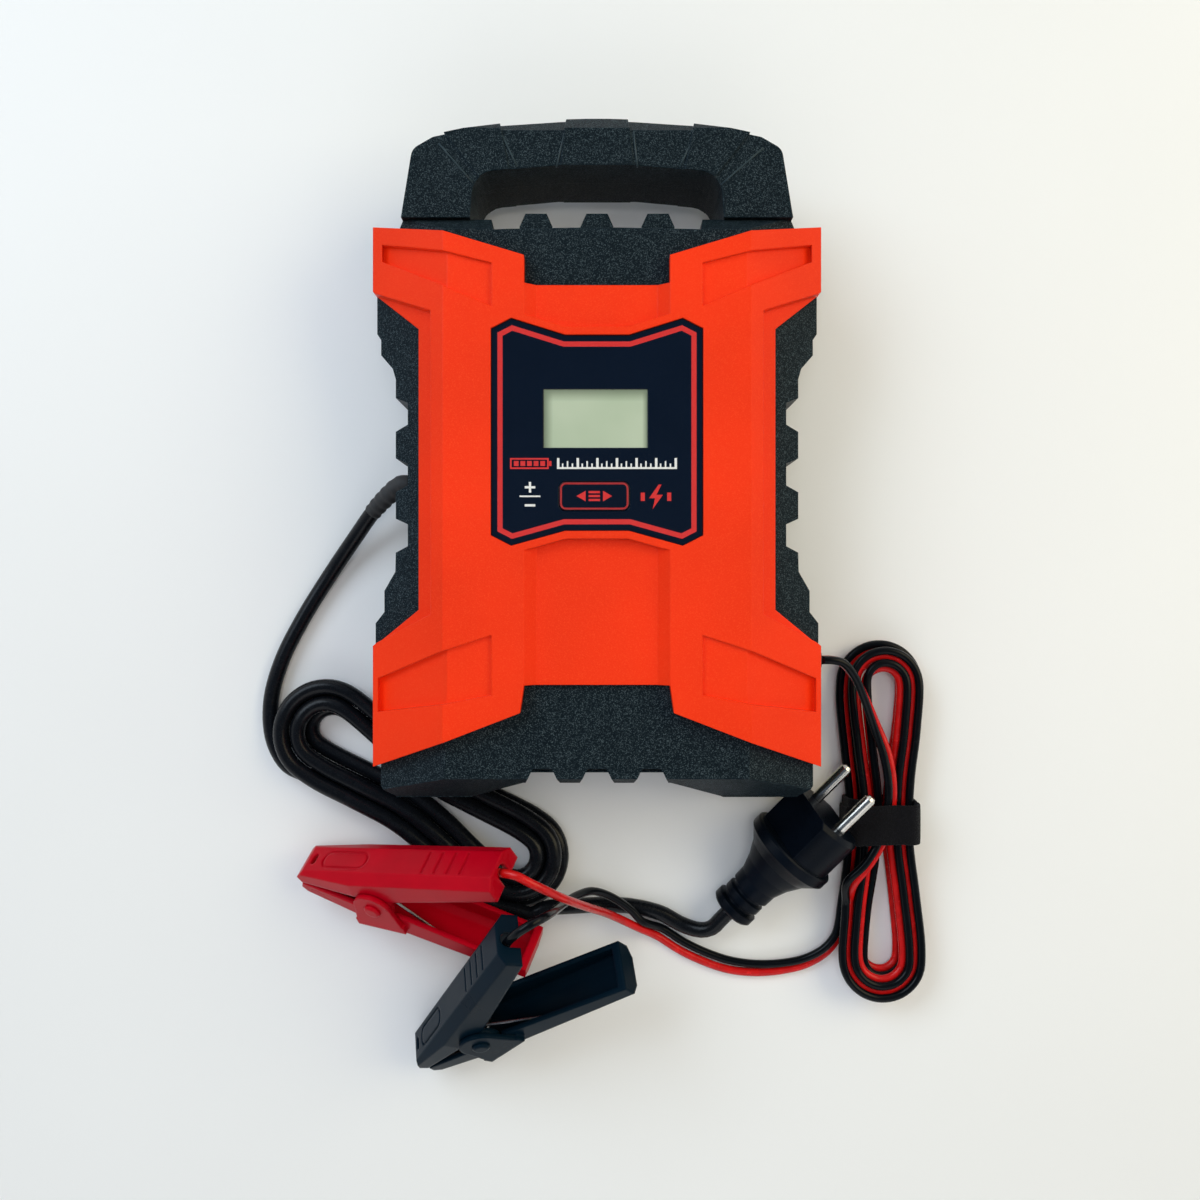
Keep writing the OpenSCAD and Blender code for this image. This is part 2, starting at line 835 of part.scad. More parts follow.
core_w = 42;
core_l = 36;
core_h = 30;
core_at = [-22, main_board_y0 + 82];
module transformer_core() {
    color([0.25, 0.25, 0.27]) translate([core_at.x, core_at.y, board_top]) difference() {
        up(0, core_h) square([core_w, core_l], center = true);
        for (x = [-1, 1]) translate([x * core_w * 0.28, 0, core_h / 2])
            cube([core_w * 0.24, core_l + 2, core_h - 14], center = true);
    }
}

module transformer_winding() {
    color([0.78, 0.66, 0.22]) translate([core_at.x, core_at.y, board_top + core_h / 2]) difference() {
        cube([core_w * 0.78, core_l + 9, core_h - 14.6], center = true);
        cube([core_w * 0.32 + 0.2, core_l + 10, core_h], center = true);
        cube([core_w, core_l - 12, 0.01], center = true);
    }
}

choke_r = 12;
choke_at = [26, main_board_y0 + 118];
module filter_choke() {
    color([0.70, 0.40, 0.22]) translate([choke_at.x, choke_at.y, board_top])
        rotate_extrude() translate([choke_r * 0.42, 0]) square([choke_r * 0.58, 10]);
}

capacitor_sites = [
    [30, main_board_y0 + 84, 9, 32],
    [30, main_board_y0 + 63, 9, 32],
    [-30, main_board_y0 + 20, 6, 22],
    [-14, main_board_y0 + 20, 6, 22]
];
module capacitors() {
    color([0.12, 0.14, 0.30]) for (c = capacitor_sites) translate([c[0], c[1], board_top]) {
        cylinder(h = 0.6, r = c[2]);
        translate([0, 0, 0.6]) cylinder(h = c[3] - 1.6, r = c[2] - 0.3);
        translate([0, 0, c[3] - 1]) cylinder(h = 1, r = c[2]);
    }
}

sink_l = 60;
sink_h = 26;
sink_at = [6, main_board_y0 + 40];
module heat_sinks() {
    color([0.72, 0.73, 0.75]) translate([sink_at.x - sink_l / 2, sink_at.y, board_top]) {
        cube([sink_l, 2.4, sink_h]);
        for (i = [0:5]) translate([0, 2.4, 2 + i * (sink_h - 4) / 5]) cube([sink_l, 8, 1.4]);
    }
}

module power_transistors() {
    color([0.13, 0.13, 0.14]) for (i = [-1:1]) translate([sink_at.x + i * 18, sink_at.y, board_top]) {
        translate([-5, -4.5, 6]) cube([10, 4.5, 15]);
        for (x = [-2.54, 0, 2.54]) translate([x - 0.4, -2.8, 0]) cube([0.8, 0.6, 6]);
    }
}

module fuse() {
    color([0.85, 0.85, 0.80]) translate([sink_at.x - sink_l / 2 - 13, main_board_y0 + 48, board_top]) {
        translate([-11, 0, 4.6]) rotate([0, 90, 0]) cylinder(h = 22, r = 2.6);
        for (x = [-11, 6]) translate([x, -2, 0]) cube([5, 4, 4]);
    }
}

// ---- glands ------------------------------------------------------------------------------
gland_neck_r = 5;
gland_nose_x = notch_x + 4;
output_y = cover_y0 + 40;
output_z = (tuck_z + part_z) / 2 + 0.5;
output_neck_r = 4.2;
output_flange_r = output_neck_r + 0.8;
output_nose_x = side_x + 5;
lead_r = lead_d / 2;
pair_gap = 0.1;
pair_r = lead_r + pair_gap / 2;
bend_room = 0.2;

module mains_gland() {
    color([0.05, 0.05, 0.05]) translate([-gland_nose_x, gland_y, gland_z]) rotate([0, 90, 0])
        rotate_extrude() polygon([
            [0, 0],
            [gland_neck_r - 1, 0],
            [gland_neck_r, 2],
            [gland_neck_r, gland_nose_x - grip_in_x + wall],
            [gland_neck_r + 2, gland_nose_x - grip_in_x + wall],
            [gland_neck_r + 2, gland_nose_x - grip_in_x + wall + 2],
            [0, gland_nose_x - grip_in_x + wall + 2]
        ]);
}

module output_gland() {
    color([0.05, 0.05, 0.05]) translate([output_nose_x, output_y, output_z]) rotate([0, -90, 0])
        rotate_extrude() polygon([
            [0, 0],
            [output_neck_r - 0.6, 0],
            [output_neck_r, 1.5],
            [output_neck_r, output_nose_x - side_x + wall],
            [output_flange_r, output_nose_x - side_x + wall],
            [output_flange_r, output_nose_x - side_x + wall + 2],
            [0, output_nose_x - side_x + wall + 2]
        ]);
}

// ---- tubes -------------------------------------------------------------------------------
// A point moved by the same turns as rotate(turn), then by at.
function spin_x(p, a) = [p.x, p.y * cos(a) - p.z * sin(a), p.y * sin(a) + p.z * cos(a)];
function spin_y(p, a) = [p.x * cos(a) + p.z * sin(a), p.y, -p.x * sin(a) + p.z * cos(a)];
function spin_z(p, a) = [p.x * cos(a) - p.y * sin(a), p.x * sin(a) + p.y * cos(a), p.z];
function placed(p, at, turn) = at + spin_z(spin_y(spin_x(p, turn.x), turn.y), turn.z);

function tangents(p) = [
    for (i = [0:len(p) - 1]) unit(p[min(i + 1, len(p) - 1)] - p[max(i - 1, 0)])
];

// Normals carried along a path without twist.
function carried(t) = [
    for (
        i = 0, n = unit(cross(t[0], abs(t[0].z) > 0.9 ? [1, 0, 0] : [0, 0, 1]));
        i < len(t);
        i = i + 1, n = i < len(t) ? unit(n - (n * t[i]) * t[i]) : n
    ) n
];

function end_fan(base, sides, flip) = [
    for (k = [1:sides - 2]) flip ? [base, base + k, base + k + 1] : [base, base + k + 1, base + k]
];

// One closed tube of radius r along path.
module tube(path, r, sides) {
    t = tangents(path);
    n = carried(t);
    points = [
        for (i = [0:len(path) - 1], k = [0:sides - 1])
            let (a = 360 * (k + 0.5) / sides)
            path[i] + r * (cos(a) * n[i] + sin(a) * cross(t[i], n[i]))
    ];
    faces = concat(
        end_fan(0, sides, true),
        end_fan((len(path) - 1) * sides, sides, false),
        [
            for (i = [0:len(path) - 2], k = [0:sides - 1])
                let (a = i * sides + k, b = i * sides + (k + 1) % sides)
                each [[a, a + sides, b], [b, a + sides, b + sides]]
        ]
    );
    polyhedron(points = points, faces = faces);
}

// Smallest distance between the points of a and b that are more than skip apart in number.
function least_gap(a, b, skip) = min([
    for (i = [0:len(a) - 1])
        let (near = [for (j = [0:len(b) - 1]) if (abs(i - j) > skip) norm(a[i] - b[j])])
        min(near)
]);

// ---- bundles -----------------------------------------------------------------------------
// A bundle is a long loop of two layers: it spirals in through half its turns, climbs or sinks
// to the other layer along a run, and spirals out again. Its sizes are
// [middle, angle, half length of the runs, end radius, how far the waist is drawn in,
//  pitch, height of the first layer, height of the second layer, turns].
run_share = 5 / 24;
rings_per_loop = 24;

function ease(x) = let (c = min(1, max(0, x))) c * c * (3 - 2 * c);

function bundle_local(t, s, out) =
    let (
        half = s[2],
        r = s[3] - s[5] * min(t, s[8] - t) + out,
        w = t + run_share / 2,
        u = w - floor(w),
        a1 = half * (2 * u / run_share - 1),
        a2 = half * (1 - 2 * (u - 0.5) / run_share),
        arc1 = -90 + 180 * (u - run_share) / (0.5 - run_share),
        arc2 = 90 + 180 * (u - 0.5 - run_share) / (0.5 - run_share)
    )
    u < run_share ? [a1, -r + s[4] * pow(cos(90 * a1 / half), 2)]
    : u < 0.5 ? [half + r * cos(arc1), r * sin(arc1)]
    : u < 0.5 + run_share ? [a2, r - s[4] * pow(cos(90 * a2 / half), 2)]
    : [-half + r * cos(arc2), r * sin(arc2)];

function bundle_at(t, s, out = 0, lift = 0) =
    let (
        p = bundle_local(t, s, out),
        climb = ease((t - s[8] / 2) / run_share + 0.5),
        z = s[6] + (s[7] - s[6]) * climb + lift
    )
    placed([p.x, p.y, 0], [s[0].x, s[0].y, z], [0, 0, s[1]]);

function bundle_path(t0, t1, s, out = 0, lift = 0) =
    let (n = round((t1 - t0) * rings_per_loop))
    [for (i = [0:n]) bundle_at(t0 + (t1 - t0) * i / n, s, out, lift)];

mains_r = mains_d / 2;
mains_bundle = [
    [-73, -134], -33.9, 47, 21, 4.8, mains_d + 0.5, mains_r, mains_r + mains_d + 0.5, 4
];
mains_t0 = -0.1;
mains_t1 = 4.16;

tilt = 50;
lead_low_z = lead_r + pair_r * sin(tilt);
tie_t = 1;
lead_bundle = [
    [119, -145], -90, 57, 16.5, 4.9, 5, tie_t + lead_low_z + 6.6, tie_t + lead_low_z, 4
];
lead_t0 = 0.07;
lead_t1 = 4.07;

// ---- routes of the free cords --------------------------------------------------------------
mains_in_route = [
    [-gland_nose_x, gland_y, gland_z],
    [-gland_nose_x - 4, gland_y, gland_z],
    [-84, -9, 18.5],
    [-92, -16, 13.5],
    [-101, -27, 8],
    [-112, -42, 4.2],
    [-124, -61, 3.3],
    [-133, -79, 3.3],
    [-137.5, -96, 3.3],
    [-136.5, -112, 3.3]
];

plug_yaw = 48;
plug_pitch = 13;
tail_ring_r = 9.5;
plug_tail_x = -36.6;
flange_back = 2.2;
plug_at = [79.6, -155, flange_r * cos(plug_pitch) + flange_back * sin(plug_pitch) + 0.1];
plug_turn = [0, -plug_pitch, plug_yaw];
function on_plug(p) = placed(p, plug_at, plug_turn);

mains_out_route = [
    [-22, -181.7, 9.6],
    [-9, -181.2, 7],
    [4, -181.4, 4],
    [16, -182.4, 3.3],
    [27, -185.2, 3.3],
    [36, -189.8, 4.2],
    [43.5, -191.4, 6.4],
    [48.2, -189.9, 8.2]
];

// The straight point before a path's start with the start, and its end with the point after it.
function before(p, l) = [p[0] - l * unit(p[1] - p[0]), p[0]];
function after(p, l) = let (e = p[len(p) - 1]) [e, e + l * unit(e - p[len(p) - 2])];

mains_loops = bundle_path(mains_t0, mains_t1, mains_bundle);
mains_in_path = concat(mains_in_route, before(mains_loops, 9));
mains_out_path = concat(
    after(mains_loops, 7),
    mains_out_route,
    [on_plug([plug_tail_x - 6.5, 0, 0]), on_plug([plug_tail_x, 0, 0])]
);

module mains_lead() {
    color([0.05, 0.05, 0.06]) {
        tube(mains_in_path, mains_r, 8);
        tube(mains_out_path, mains_r, 8);
    }
}

module mains_coil() {
    color([0.05, 0.05, 0.06]) tube(mains_loops, mains_r, 6);
}

// ---- output leads ------------------------------------------------------------------------
// Each step of a pair's route is [x, y, z, tilt]: the red lead lies to the right of the
// direction of travel at a tilt of 0, above the black one at 90 and to its left at 180.
pair_in_route = [
    [output_nose_x, output_y, output_z, 0],
    [output_nose_x + 4, output_y, output_z, 0],
    [98.5, output_y - 1.2, output_z - 0.8, 0],
    [103.5, output_y - 6.4, 26, 5],
    [108.5, -92.5, 22.3, 20],
    [113.8, -104.5, 18.6, 40],
    [118.5, -116.5, 17.4, 50],
    [120.5, -128.5, 17.3, 50],
    [119.8, -141, 17.3, 50],
    [116.3, -152.5, 17.5, 50],
    [110, -162.5, 17.8, 50],
    [102.9, -170, 16.6, 28]
];
pair_out_route = [
    [101.2, -194, 3.9, 60],
    [96.5, -200.5, 3.6, 78],
    [88, -205.5, 3.6, 92],
    [77, -208, 3.4, 118],
    [66, -208.6, 2.8, 155],
    [55.5, -207.3, 1.9, 180],
    [45.5, -204, 1.8, 180],
    [36, -199.5, 1.8, 180],
    [27, -193, 1.8, 180]
];
red_end_route = [
    [17.5, -190.4, 6.7],
    [10, -186.4, 10.4],
    [3.3, -182.2, 15],
    [-2.5, -177.8, 22],
    [-8, -173.8, 32],
    [-12, -169.5, 41.5],
    [-14.8, -164.5, 50.5],
    [-17.3, -158, 61],
    [-20.4, -152.2, 71.4],
    [-23.8, -151.5, 72.3]
];
black_end_route = [
    [18.5, -186.9, 8.2],
    [11, -180.3, 9.6],
    [4.5, -176.3, 11.4],
    [-2.3, -174.6, 15],
    [-8.3, -176.3, 21.5],
    [-13.2, -175.2, 31],
    [-16.4, -171.3, 44],
    [-18.5, -167, 58],
    [-20.2, -163.7, 69.5],
    [-22.3, -162.1, 78],
    [-25.3, -162.6, 83],
    [-28.3, -165.1, 84]
];

function pair_shift(a, b, angle) =
    let (t = unit([b.x - a.x, b.y - a.y]))
    (pair_r + bend_room) * [cos(angle) * t.y, -cos(angle) * t.x, sin(angle)];

// One lead of a pair that comes from the point before the route and goes to the one after it:
// side is 1 for the red lead and -1 for the black one.
function pair_side(route, side, origin, goal) = [
    for (i = [0:len(route) - 1])
        let (a = i > 0 ? route[i - 1] : origin, b = i < len(route) - 1 ? route[i + 1] : goal)
        [route[i].x, route[i].y, route[i].z] + side * pair_shift(a, b, route[i][3])
];

// The pair's tilt in the bundle: the leads lie one above the other while the bundle sinks.
function lead_tilt(t) =
    tilt + (90 - tilt) * (1 - ease((abs(t - lead_bundle[8] / 2) - run_share / 2) / 0.15));

function lead_loops(side) =
    let (n = round((lead_t1 - lead_t0) * rings_per_loop))
    [
        for (i = [0:n])
            let (t = lead_t0 + (lead_t1 - lead_t0) * i / n, a = lead_tilt(t))
            bundle_at(t, lead_bundle, side * pair_r * cos(a), side * pair_r * sin(a))
    ];

function lead_in(side) =
    let (origin = pair_in_route[0] - [1, 0, 0, 0], goal = bundle_at(lead_t0, lead_bundle))
    concat(pair_side(pair_in_route, side, origin, goal), before(lead_loops(side), 5));

function lead_away(side, route, finish) =
    let (origin = bundle_at(lead_t1, lead_bundle), goal = (red_end_route[0] + black_end_route[0]) / 2)
    concat(after(lead_loops(side), 5), pair_side(pair_out_route, side, origin, goal), route, finish);

// ---- clamps ------------------------------------------------------------------------------
red_at = [-85.6, -168.7, 22.9];
red_turn = [-43.5, -20.3, -7];
black_at = [-47.7, -220.9, 26.8];
black_turn = [-49.8, -31.1, 42.1];

nose_h = 7.5;
tail_depth = 9;
lever_flat = 0.58;      // share of a lever's width that its flat back takes
chamfer_h = 3;
nose_half = 0.35 * lever_w;
ear_gap = 0.3;
ear_t = 2;
stub_angle = 26.4;
stub_reach = norm([tail_l + 2.5, back_z(tail_l) - tail_depth / 2]) + 4;
stub_gap = 0.7;

function back_z(x) = nose_h + (x + nose_l - 2) * tan(lever_angle);
function stub_point(reach) = reach * [cos(stub_angle), 0, sin(stub_angle)];

lever_side = [
    [-nose_l, 0.3],
    [-nose_l * 0.55, 2.2],
    [-ear_r, 3.6],
    [ear_r, 5],
    [tail_l + 2.5, back_z(tail_l) - tail_depth],
    [tail_l, back_z(tail_l)],
    [-nose_l + 2, nose_h],
    [-nose_l - 1.5, 3.5]
];

// The bar along a lever's back with its long edges taken off, drawn in by d.
module lever_bar(d) {
    translate([-nose_l + 2, 0, nose_h]) rotate([0, -lever_angle, 0]) along_x(-12 + d, 2 * tail_l + nose_l)
        polygon([
            [-lever_w / 2 + d, -40],
            [lever_w / 2 - d, -40],
            [lever_w / 2 - d, -chamfer_h - d * 0.4],
            [lever_w / 2 * lever_flat - d * 0.5, -d],
            [-lever_w / 2 * lever_flat + d * 0.5, -d],
            [-lever_w / 2 + d, -chamfer_h - d * 0.4]
        ]);
}

// A lever seen from above, narrower at the nose, drawn in by d.
module lever_plan(d) {
    translate([0, 0, -20]) linear_extrude(80) polygon([
        [-nose_l - 2 + d * 1.5, -nose_half + d],
        [-ear_r - 1, -lever_w / 2 + d],
        [tail_l + 5, -lever_w / 2 + d],
        [tail_l + 5, lever_w / 2 - d],
        [-ear_r - 1, lever_w / 2 - d],
        [-nose_l - 2 + d * 1.5, nose_half - d]
    ]);
}

module lever_shell(eared) {
    difference() {
        intersection() {
            along_y(-lever_w / 2, lever_w / 2) {
                polygon(lever_side);
                if (eared) circle(ear_r);
            }
            lever_bar(0);
            lever_plan(0);
        }
        intersection() {
            lever_bar(lever_wall);
            lever_plan(lever_wall);
            translate([-nose_l - 5, -lever_w, -30]) cube([nose_l + 5 + tail_l - 0.5, 2 * lever_w, 100]);
        }
    }
}

module pivot_bore(r, w) {
    translate([0, w / 2, 0]) rotate([90, 0, 0]) cylinder(h = w, r = r);
}

// Ribs and a sunk oval on a lever's back.
module grip_marks() {
    translate([-nose_l + 2, 0, nose_h]) rotate([0, -lever_angle, 0]) {
        for (i = [0:3]) translate([tail_l + nose_l - 14 - i * 6.2, -lever_w * 0.24, -0.5])
            cube([1.1, lever_w * 0.48, 2]);
        translate([20, 0, -0.5]) linear_extrude(2) difference() {
            round_slab(24, lever_w * 0.42, lever_w * 0.2);
            round_slab(22, lever_w * 0.42 - 2, lever_w * 0.2 - 1.05);
        }
        translate([3.2, 0, -wall]) linear_extrude(6) round_slab(2.6, 5, 1.2);
    }
}

module clamp_lever() {
    difference() {
        lever_shell(true);
        pivot_bore(rivet_r + running, lever_w + 2);
        grip_marks();
        rotate([0, -stub_angle, 0]) translate([tail_l - 8, 0, 0]) {
            rotate([0, 90, 0]) cylinder(h = 30, r = 3);
            translate([0, -3, -12]) cube([30, 6, 12]);
        }
    }
}

module clamp_base() {
    web = ear_r + 3;
    difference() {
        union() {
            difference() {
                mirror([0, 0, 1]) {
                    difference() {
                        lever_shell(false);
                        grip_marks();
                    }
                }
                pivot_bore(ear_r + 0.4, lever_w + 2 * ear_gap);
            }
            for (side = [-1, 1]) scale([1, side, 1]) {
                along_y(lever_w / 2 + ear_gap, lever_w / 2 + ear_gap + ear_t) {
                    circle(ear_r + 0.5);
                    polygon([[-ear_r - 0.5, 0], [-web, -web - 2], [web, -web - 2], [ear_r + 0.5, 0]]);
                }
                along_y(lever_w / 2 - lever_wall, lever_w / 2 + ear_gap + ear_t)
                    polygon([[-web, -web - 2.6], [-web, -web + 1.5], [web, -web + 1.5], [web, -web - 2.6]]);
            }
        }
        pivot_bore(rivet_r, 2 * lever_w);
    }
}

module clamp_rivet() {
    half = lever_w / 2 + ear_gap + ear_t;
    rotate([90, 0, 0]) rotate_extrude() polygon([
        [0, -half - 1.4],
        [rivet_r + 0.4, -half - 1.4],
        [rivet_r + 1.4, -half - 0.6],
        [rivet_r + 1.4, -half],
        [rivet_r, -half],
        [rivet_r, half],
        [rivet_r + 1.4, half],
        [rivet_r + 1.4, half + 0.6],
        [rivet_r + 0.4, half + 1.4],
        [0, half + 1.4]
    ]);
}

coil_r = 4.4;
coil_wire = 0.6;
coil_turns = 4.77;
coil_start = 40.6;
leg_x = 24;
spring_half = lever_w / 2 - lever_wall - 2.4;
function spring_point(t) =
    let (a = coil_start + 360 * coil_turns * t)
    [coil_r * cos(a), spring_half * (2 * t - 1), coil_r * sin(a)];
spring_rings = 38;

module clamp_spring() {
    leg_z = -back_z(leg_x) + lever_wall / cos(lever_angle) + coil_wire + 0.35;
    tube(
        concat(
            [[leg_x, -spring_half, leg_z]],
            [for (i = [0:spring_rings]) spring_point(i / spring_rings)]
        ),
        coil_wire, 6
    );
}

contact_x0 = -nose_l + 3;
contact_half = 4.6;
tooth_h = 1.2;
contact_l = 20;
function contact_back(x) = back_z(x) - lever_wall / cos(lever_angle);

module jaw_contact() {
    step = contact_l / teeth;
    difference() {
        along_y(-contact_half, contact_half) polygon(concat(
            [[contact_x0 + contact_l, contact_back(contact_x0 + contact_l)], [contact_x0, contact_back(contact_x0)]],
            [for (i = [0:teeth - 1]) each [
                [contact_x0 + i * step, 0.15],
                [contact_x0 + (i + 0.5) * step, 0.15 + tooth_h]
            ]],
            [[contact_x0 + contact_l, 0.15]]
        ));
        along_y(-contact_half + 1, contact_half - 1) polygon([
            [contact_x0 - past, -past],
            [contact_x0 - past, contact_back(contact_x0 - past) - 1],
            [contact_x0 + contact_l + past, contact_back(contact_x0 + contact_l + past) - 1],
            [contact_x0 + contact_l + past, -past]
        ]);
    }
}

crimp_r = lead_r + 0.7;
crimp_l = 9;
crimp_reach = 30;
module wire_end() {
    rotate([0, -stub_angle, 0]) translate([crimp_reach, 0, 0]) rotate([0, 90, 0])
        cylinder(h = stub_reach - crimp_reach, r = lead_r);
}

module crimp() {
    x0 = (crimp_reach - crimp_l) * cos(stub_angle);
    x1 = crimp_reach * cos(stub_angle);
    rotate([0, -stub_angle, 0]) translate([crimp_reach - crimp_l, 0, 0]) rotate([0, 90, 0])
        cylinder(h = crimp_l, r = crimp_r);
    along_y(-1.2, 1.2) polygon([
        [x0 + 0.2, x0 * tan(stub_angle)],
        [x1 - 1.5, x1 * tan(stub_angle) - 0.6],
        [x1 - 1.5, contact_back(x1 - 1.5)],
        [x0 + 0.2, contact_back(x0 + 0.2)]
    ]);
}

module placed_clamp(at, turn) {
    translate(at) rotate(turn) children();
}

red_color = [0.84, 0.08, 0.10];
module red_clamp_base() { color(red_color) placed_clamp(red_at, red_turn) clamp_base(); }
module red_clamp_lever() { color(red_color) placed_clamp(red_at, red_turn) clamp_lever(); }
module red_clamp_rivet() { color(red_color) placed_clamp(red_at, red_turn) clamp_rivet(); }
module red_clamp_spring() { color(steel_color) placed_clamp(red_at, red_turn) clamp_spring(); }
module red_contact_lower() {
    color(copper_color) placed_clamp(red_at, red_turn) mirror([0, 0, 1]) jaw_contact();
}
module red_contact_upper() { color(copper_color) placed_clamp(red_at, red_turn) jaw_contact(); }
module red_wire_end() { color(red_color) placed_clamp(red_at, red_turn) wire_end(); }
module red_crimp() { color(copper_color) placed_clamp(red_at, red_turn) crimp(); }

module black_clamp_base() { color(black_color) placed_clamp(black_at, black_turn) clamp_base(); }
module black_clamp_lever() { color(black_color) placed_clamp(black_at, black_turn) clamp_lever(); }
module black_clamp_rivet() { color(black_color) placed_clamp(black_at, black_turn) clamp_rivet(); }
module black_clamp_spring() { color(steel_color) placed_clamp(black_at, black_turn) clamp_spring(); }
module black_contact_lower() {
    color(copper_color) placed_clamp(black_at, black_turn) mirror([0, 0, 1]) jaw_contact();
}
module black_contact_upper() { color(copper_color) placed_clamp(black_at, black_turn) jaw_contact(); }
module black_wire_end() { color(black_color) placed_clamp(black_at, black_turn) wire_end(); }
module black_crimp() { color(copper_color) placed_clamp(black_at, black_turn) crimp(); }

// ---- leads to the clamps -------------------------------------------------------------------
red_away = lead_away(1, red_end_route, [
    placed(stub_point(stub_reach + stub_gap + 5), red_at, red_turn),
    placed(stub_point(stub_reach + stub_gap), red_at, red_turn)
]);
black_away = lead_away(-1, black_end_route, [
    placed(stub_point(stub_reach + stub_gap + 5), black_at, black_turn),
    placed(stub_point(stub_reach + stub_gap), black_at, black_turn)
]);

module red_lead() {
    color(red_color) {
        tube(lead_in(1), lead_r, 8);
        tube(red_away, lead_r, 8);
    }
}

module black_lead() {
    color(black_color) {
        tube(lead_in(-1), lead_r, 8);
        tube(black_away, lead_r, 8);
    }
}

module red_hank() {
    color(red_color) tube(lead_loops(1), lead_r, 6);
}

module black_hank() {
    color(black_color) tube(lead_loops(-1), lead_r, 6);
}

tie_w = 30.4;
tie_h = 22.4;
tie_l = 19;
module hank_tie() {
    color([0.06, 0.06, 0.07])
        translate([lead_bundle[0].x - 1.2, lead_bundle[0].y + tie_l / 2, tie_h / 2])
            rotate([90, 0, 0]) linear_extrude(tie_l) difference() {
                round_slab(tie_w, tie_h, 5);
                round_slab(tie_w - 2 * tie_t, tie_h - 2 * tie_t, 4);
            }
}

// ---- plug --------------------------------------------------------------------------------
plug_roll = -52;
plug_front_x = 21;
plug_body_r = flange_r - 2;
plug_flat = 11.5;
shank_l = 4;        // how deep a pin's shank sits in the plug
shank_step = 0.5;   // how much thinner the shank is than the pin
pin_lead = 1.2;     // length of a pin's tapered tip
module placed_plug() {
    translate(plug_at) rotate(plug_turn) children();
}

module pins() {
    for (side = [-1, 1]) rotate([plug_roll, 0, 0])
        translate([plug_front_x, side * pin_pitch / 2, 0]) rotate([0, 90, 0]) children();
}

module plug_body() {
    color([0.05, 0.05, 0.06]) placed_plug() difference() {
        union() {
            rotate([0, 90, 0]) rotate_extrude() polygon([
                [0, plug_tail_x],
                [tail_ring_r - 1, plug_tail_x],
                [tail_ring_r, plug_tail_x + 1],
                [tail_ring_r, plug_tail_x + 4],
                [tail_ring_r - 2.5, plug_tail_x + 4.5],
                [tail_ring_r - 2.5, plug_tail_x + 6],
                [tail_ring_r - 0.9, plug_tail_x + 6.5],
                [tail_ring_r - 0.9, plug_tail_x + 9.5],
                [tail_ring_r - 2.4, plug_tail_x + 10],
                [tail_ring_r - 2.4, plug_tail_x + 11.5],
                [tail_ring_r - 0.8, plug_tail_x + 12],
                [tail_ring_r - 0.6, plug_tail_x + 17],
                [tail_ring_r + 1.4, plug_tail_x + 23],
                [tail_ring_r + 4.6, plug_tail_x + 29],
                [flange_r - 1.4, -3.6],
                [flange_r, -flange_back],
                [flange_r, 1.4],
                [flange_r - 0.8, 2.2],
                [0, 2.2]
            ]);
            intersection() {
                rotate([plug_roll, 0, 0]) along_x(0, plug_front_x) intersection() {
                    circle(plug_body_r);
                    square([2 * flange_r, 2 * plug_flat], center = true);
                }
                rotate([0, 90, 0]) rotate_extrude() polygon([
                    [0, 0], [plug_body_r, 0], [plug_body_r, plug_front_x - 2],
                    [plug_body_r - 1.6, plug_front_x], [0, plug_front_x]
                ]);
            }
        }
        pins() translate([0, 0, -shank_l]) cylinder(h = shank_l + past, r = pin_d / 2 - shank_step);
    }
}

module plug_pins() {
    color(steel_color) placed_plug() pins() {
        translate([0, 0, -shank_l]) cylinder(h = shank_l, r = pin_d / 2 - shank_step);
        cylinder(h = pin_l - pin_lead, r = pin_d / 2);
        translate([0, 0, pin_l - pin_lead]) cylinder(h = pin_lead, r1 = pin_d / 2, r2 = pin_d / 2 - 1);
    }
}

rear_housing();
front_cover();
top_cap();
bottom_cap();
left_grip();
right_grip();
handle_front();
handle_rear();
display_panel();
lcd_window();
lcd_module();
main_board();
control_board();
mode_switch();
mode_button();
transformer_core();
transformer_winding();
filter_choke();
capacitors();
heat_sinks();
power_transistors();
fuse();
case_screws();
rubber_feet();
mains_gland();
output_gland();
mains_lead();
mains_coil();
plug_body();
plug_pins();
red_lead();
red_hank();
black_lead();
black_hank();
hank_tie();
red_clamp_base();
red_clamp_rivet();
red_clamp_spring();
red_contact_lower();
red_clamp_lever();
red_contact_upper();
red_wire_end();
red_crimp();
black_clamp_base();
black_clamp_rivet();
black_clamp_spring();
black_contact_lower();
black_clamp_lever();
black_contact_upper();
black_wire_end();
black_crimp();

echo(mains_coil_gap = least_gap(mains_loops, mains_loops, 12) - mains_d);
echo(red_hank_gap = least_gap(lead_loops(1), lead_loops(1), 12) - lead_d);
echo(black_hank_gap = least_gap(lead_loops(-1), lead_loops(-1), 12) - lead_d);
echo(between_hanks_gap = least_gap(lead_loops(1), lead_loops(-1), -1) - lead_d);
echo(rings = len(mains_in_path) + len(mains_out_path) + 2 * len(lead_in(1)) + len(red_away) + len(black_away));
echo(mains_end = after(mains_loops, 7), red_end = after(lead_loops(1), 5));
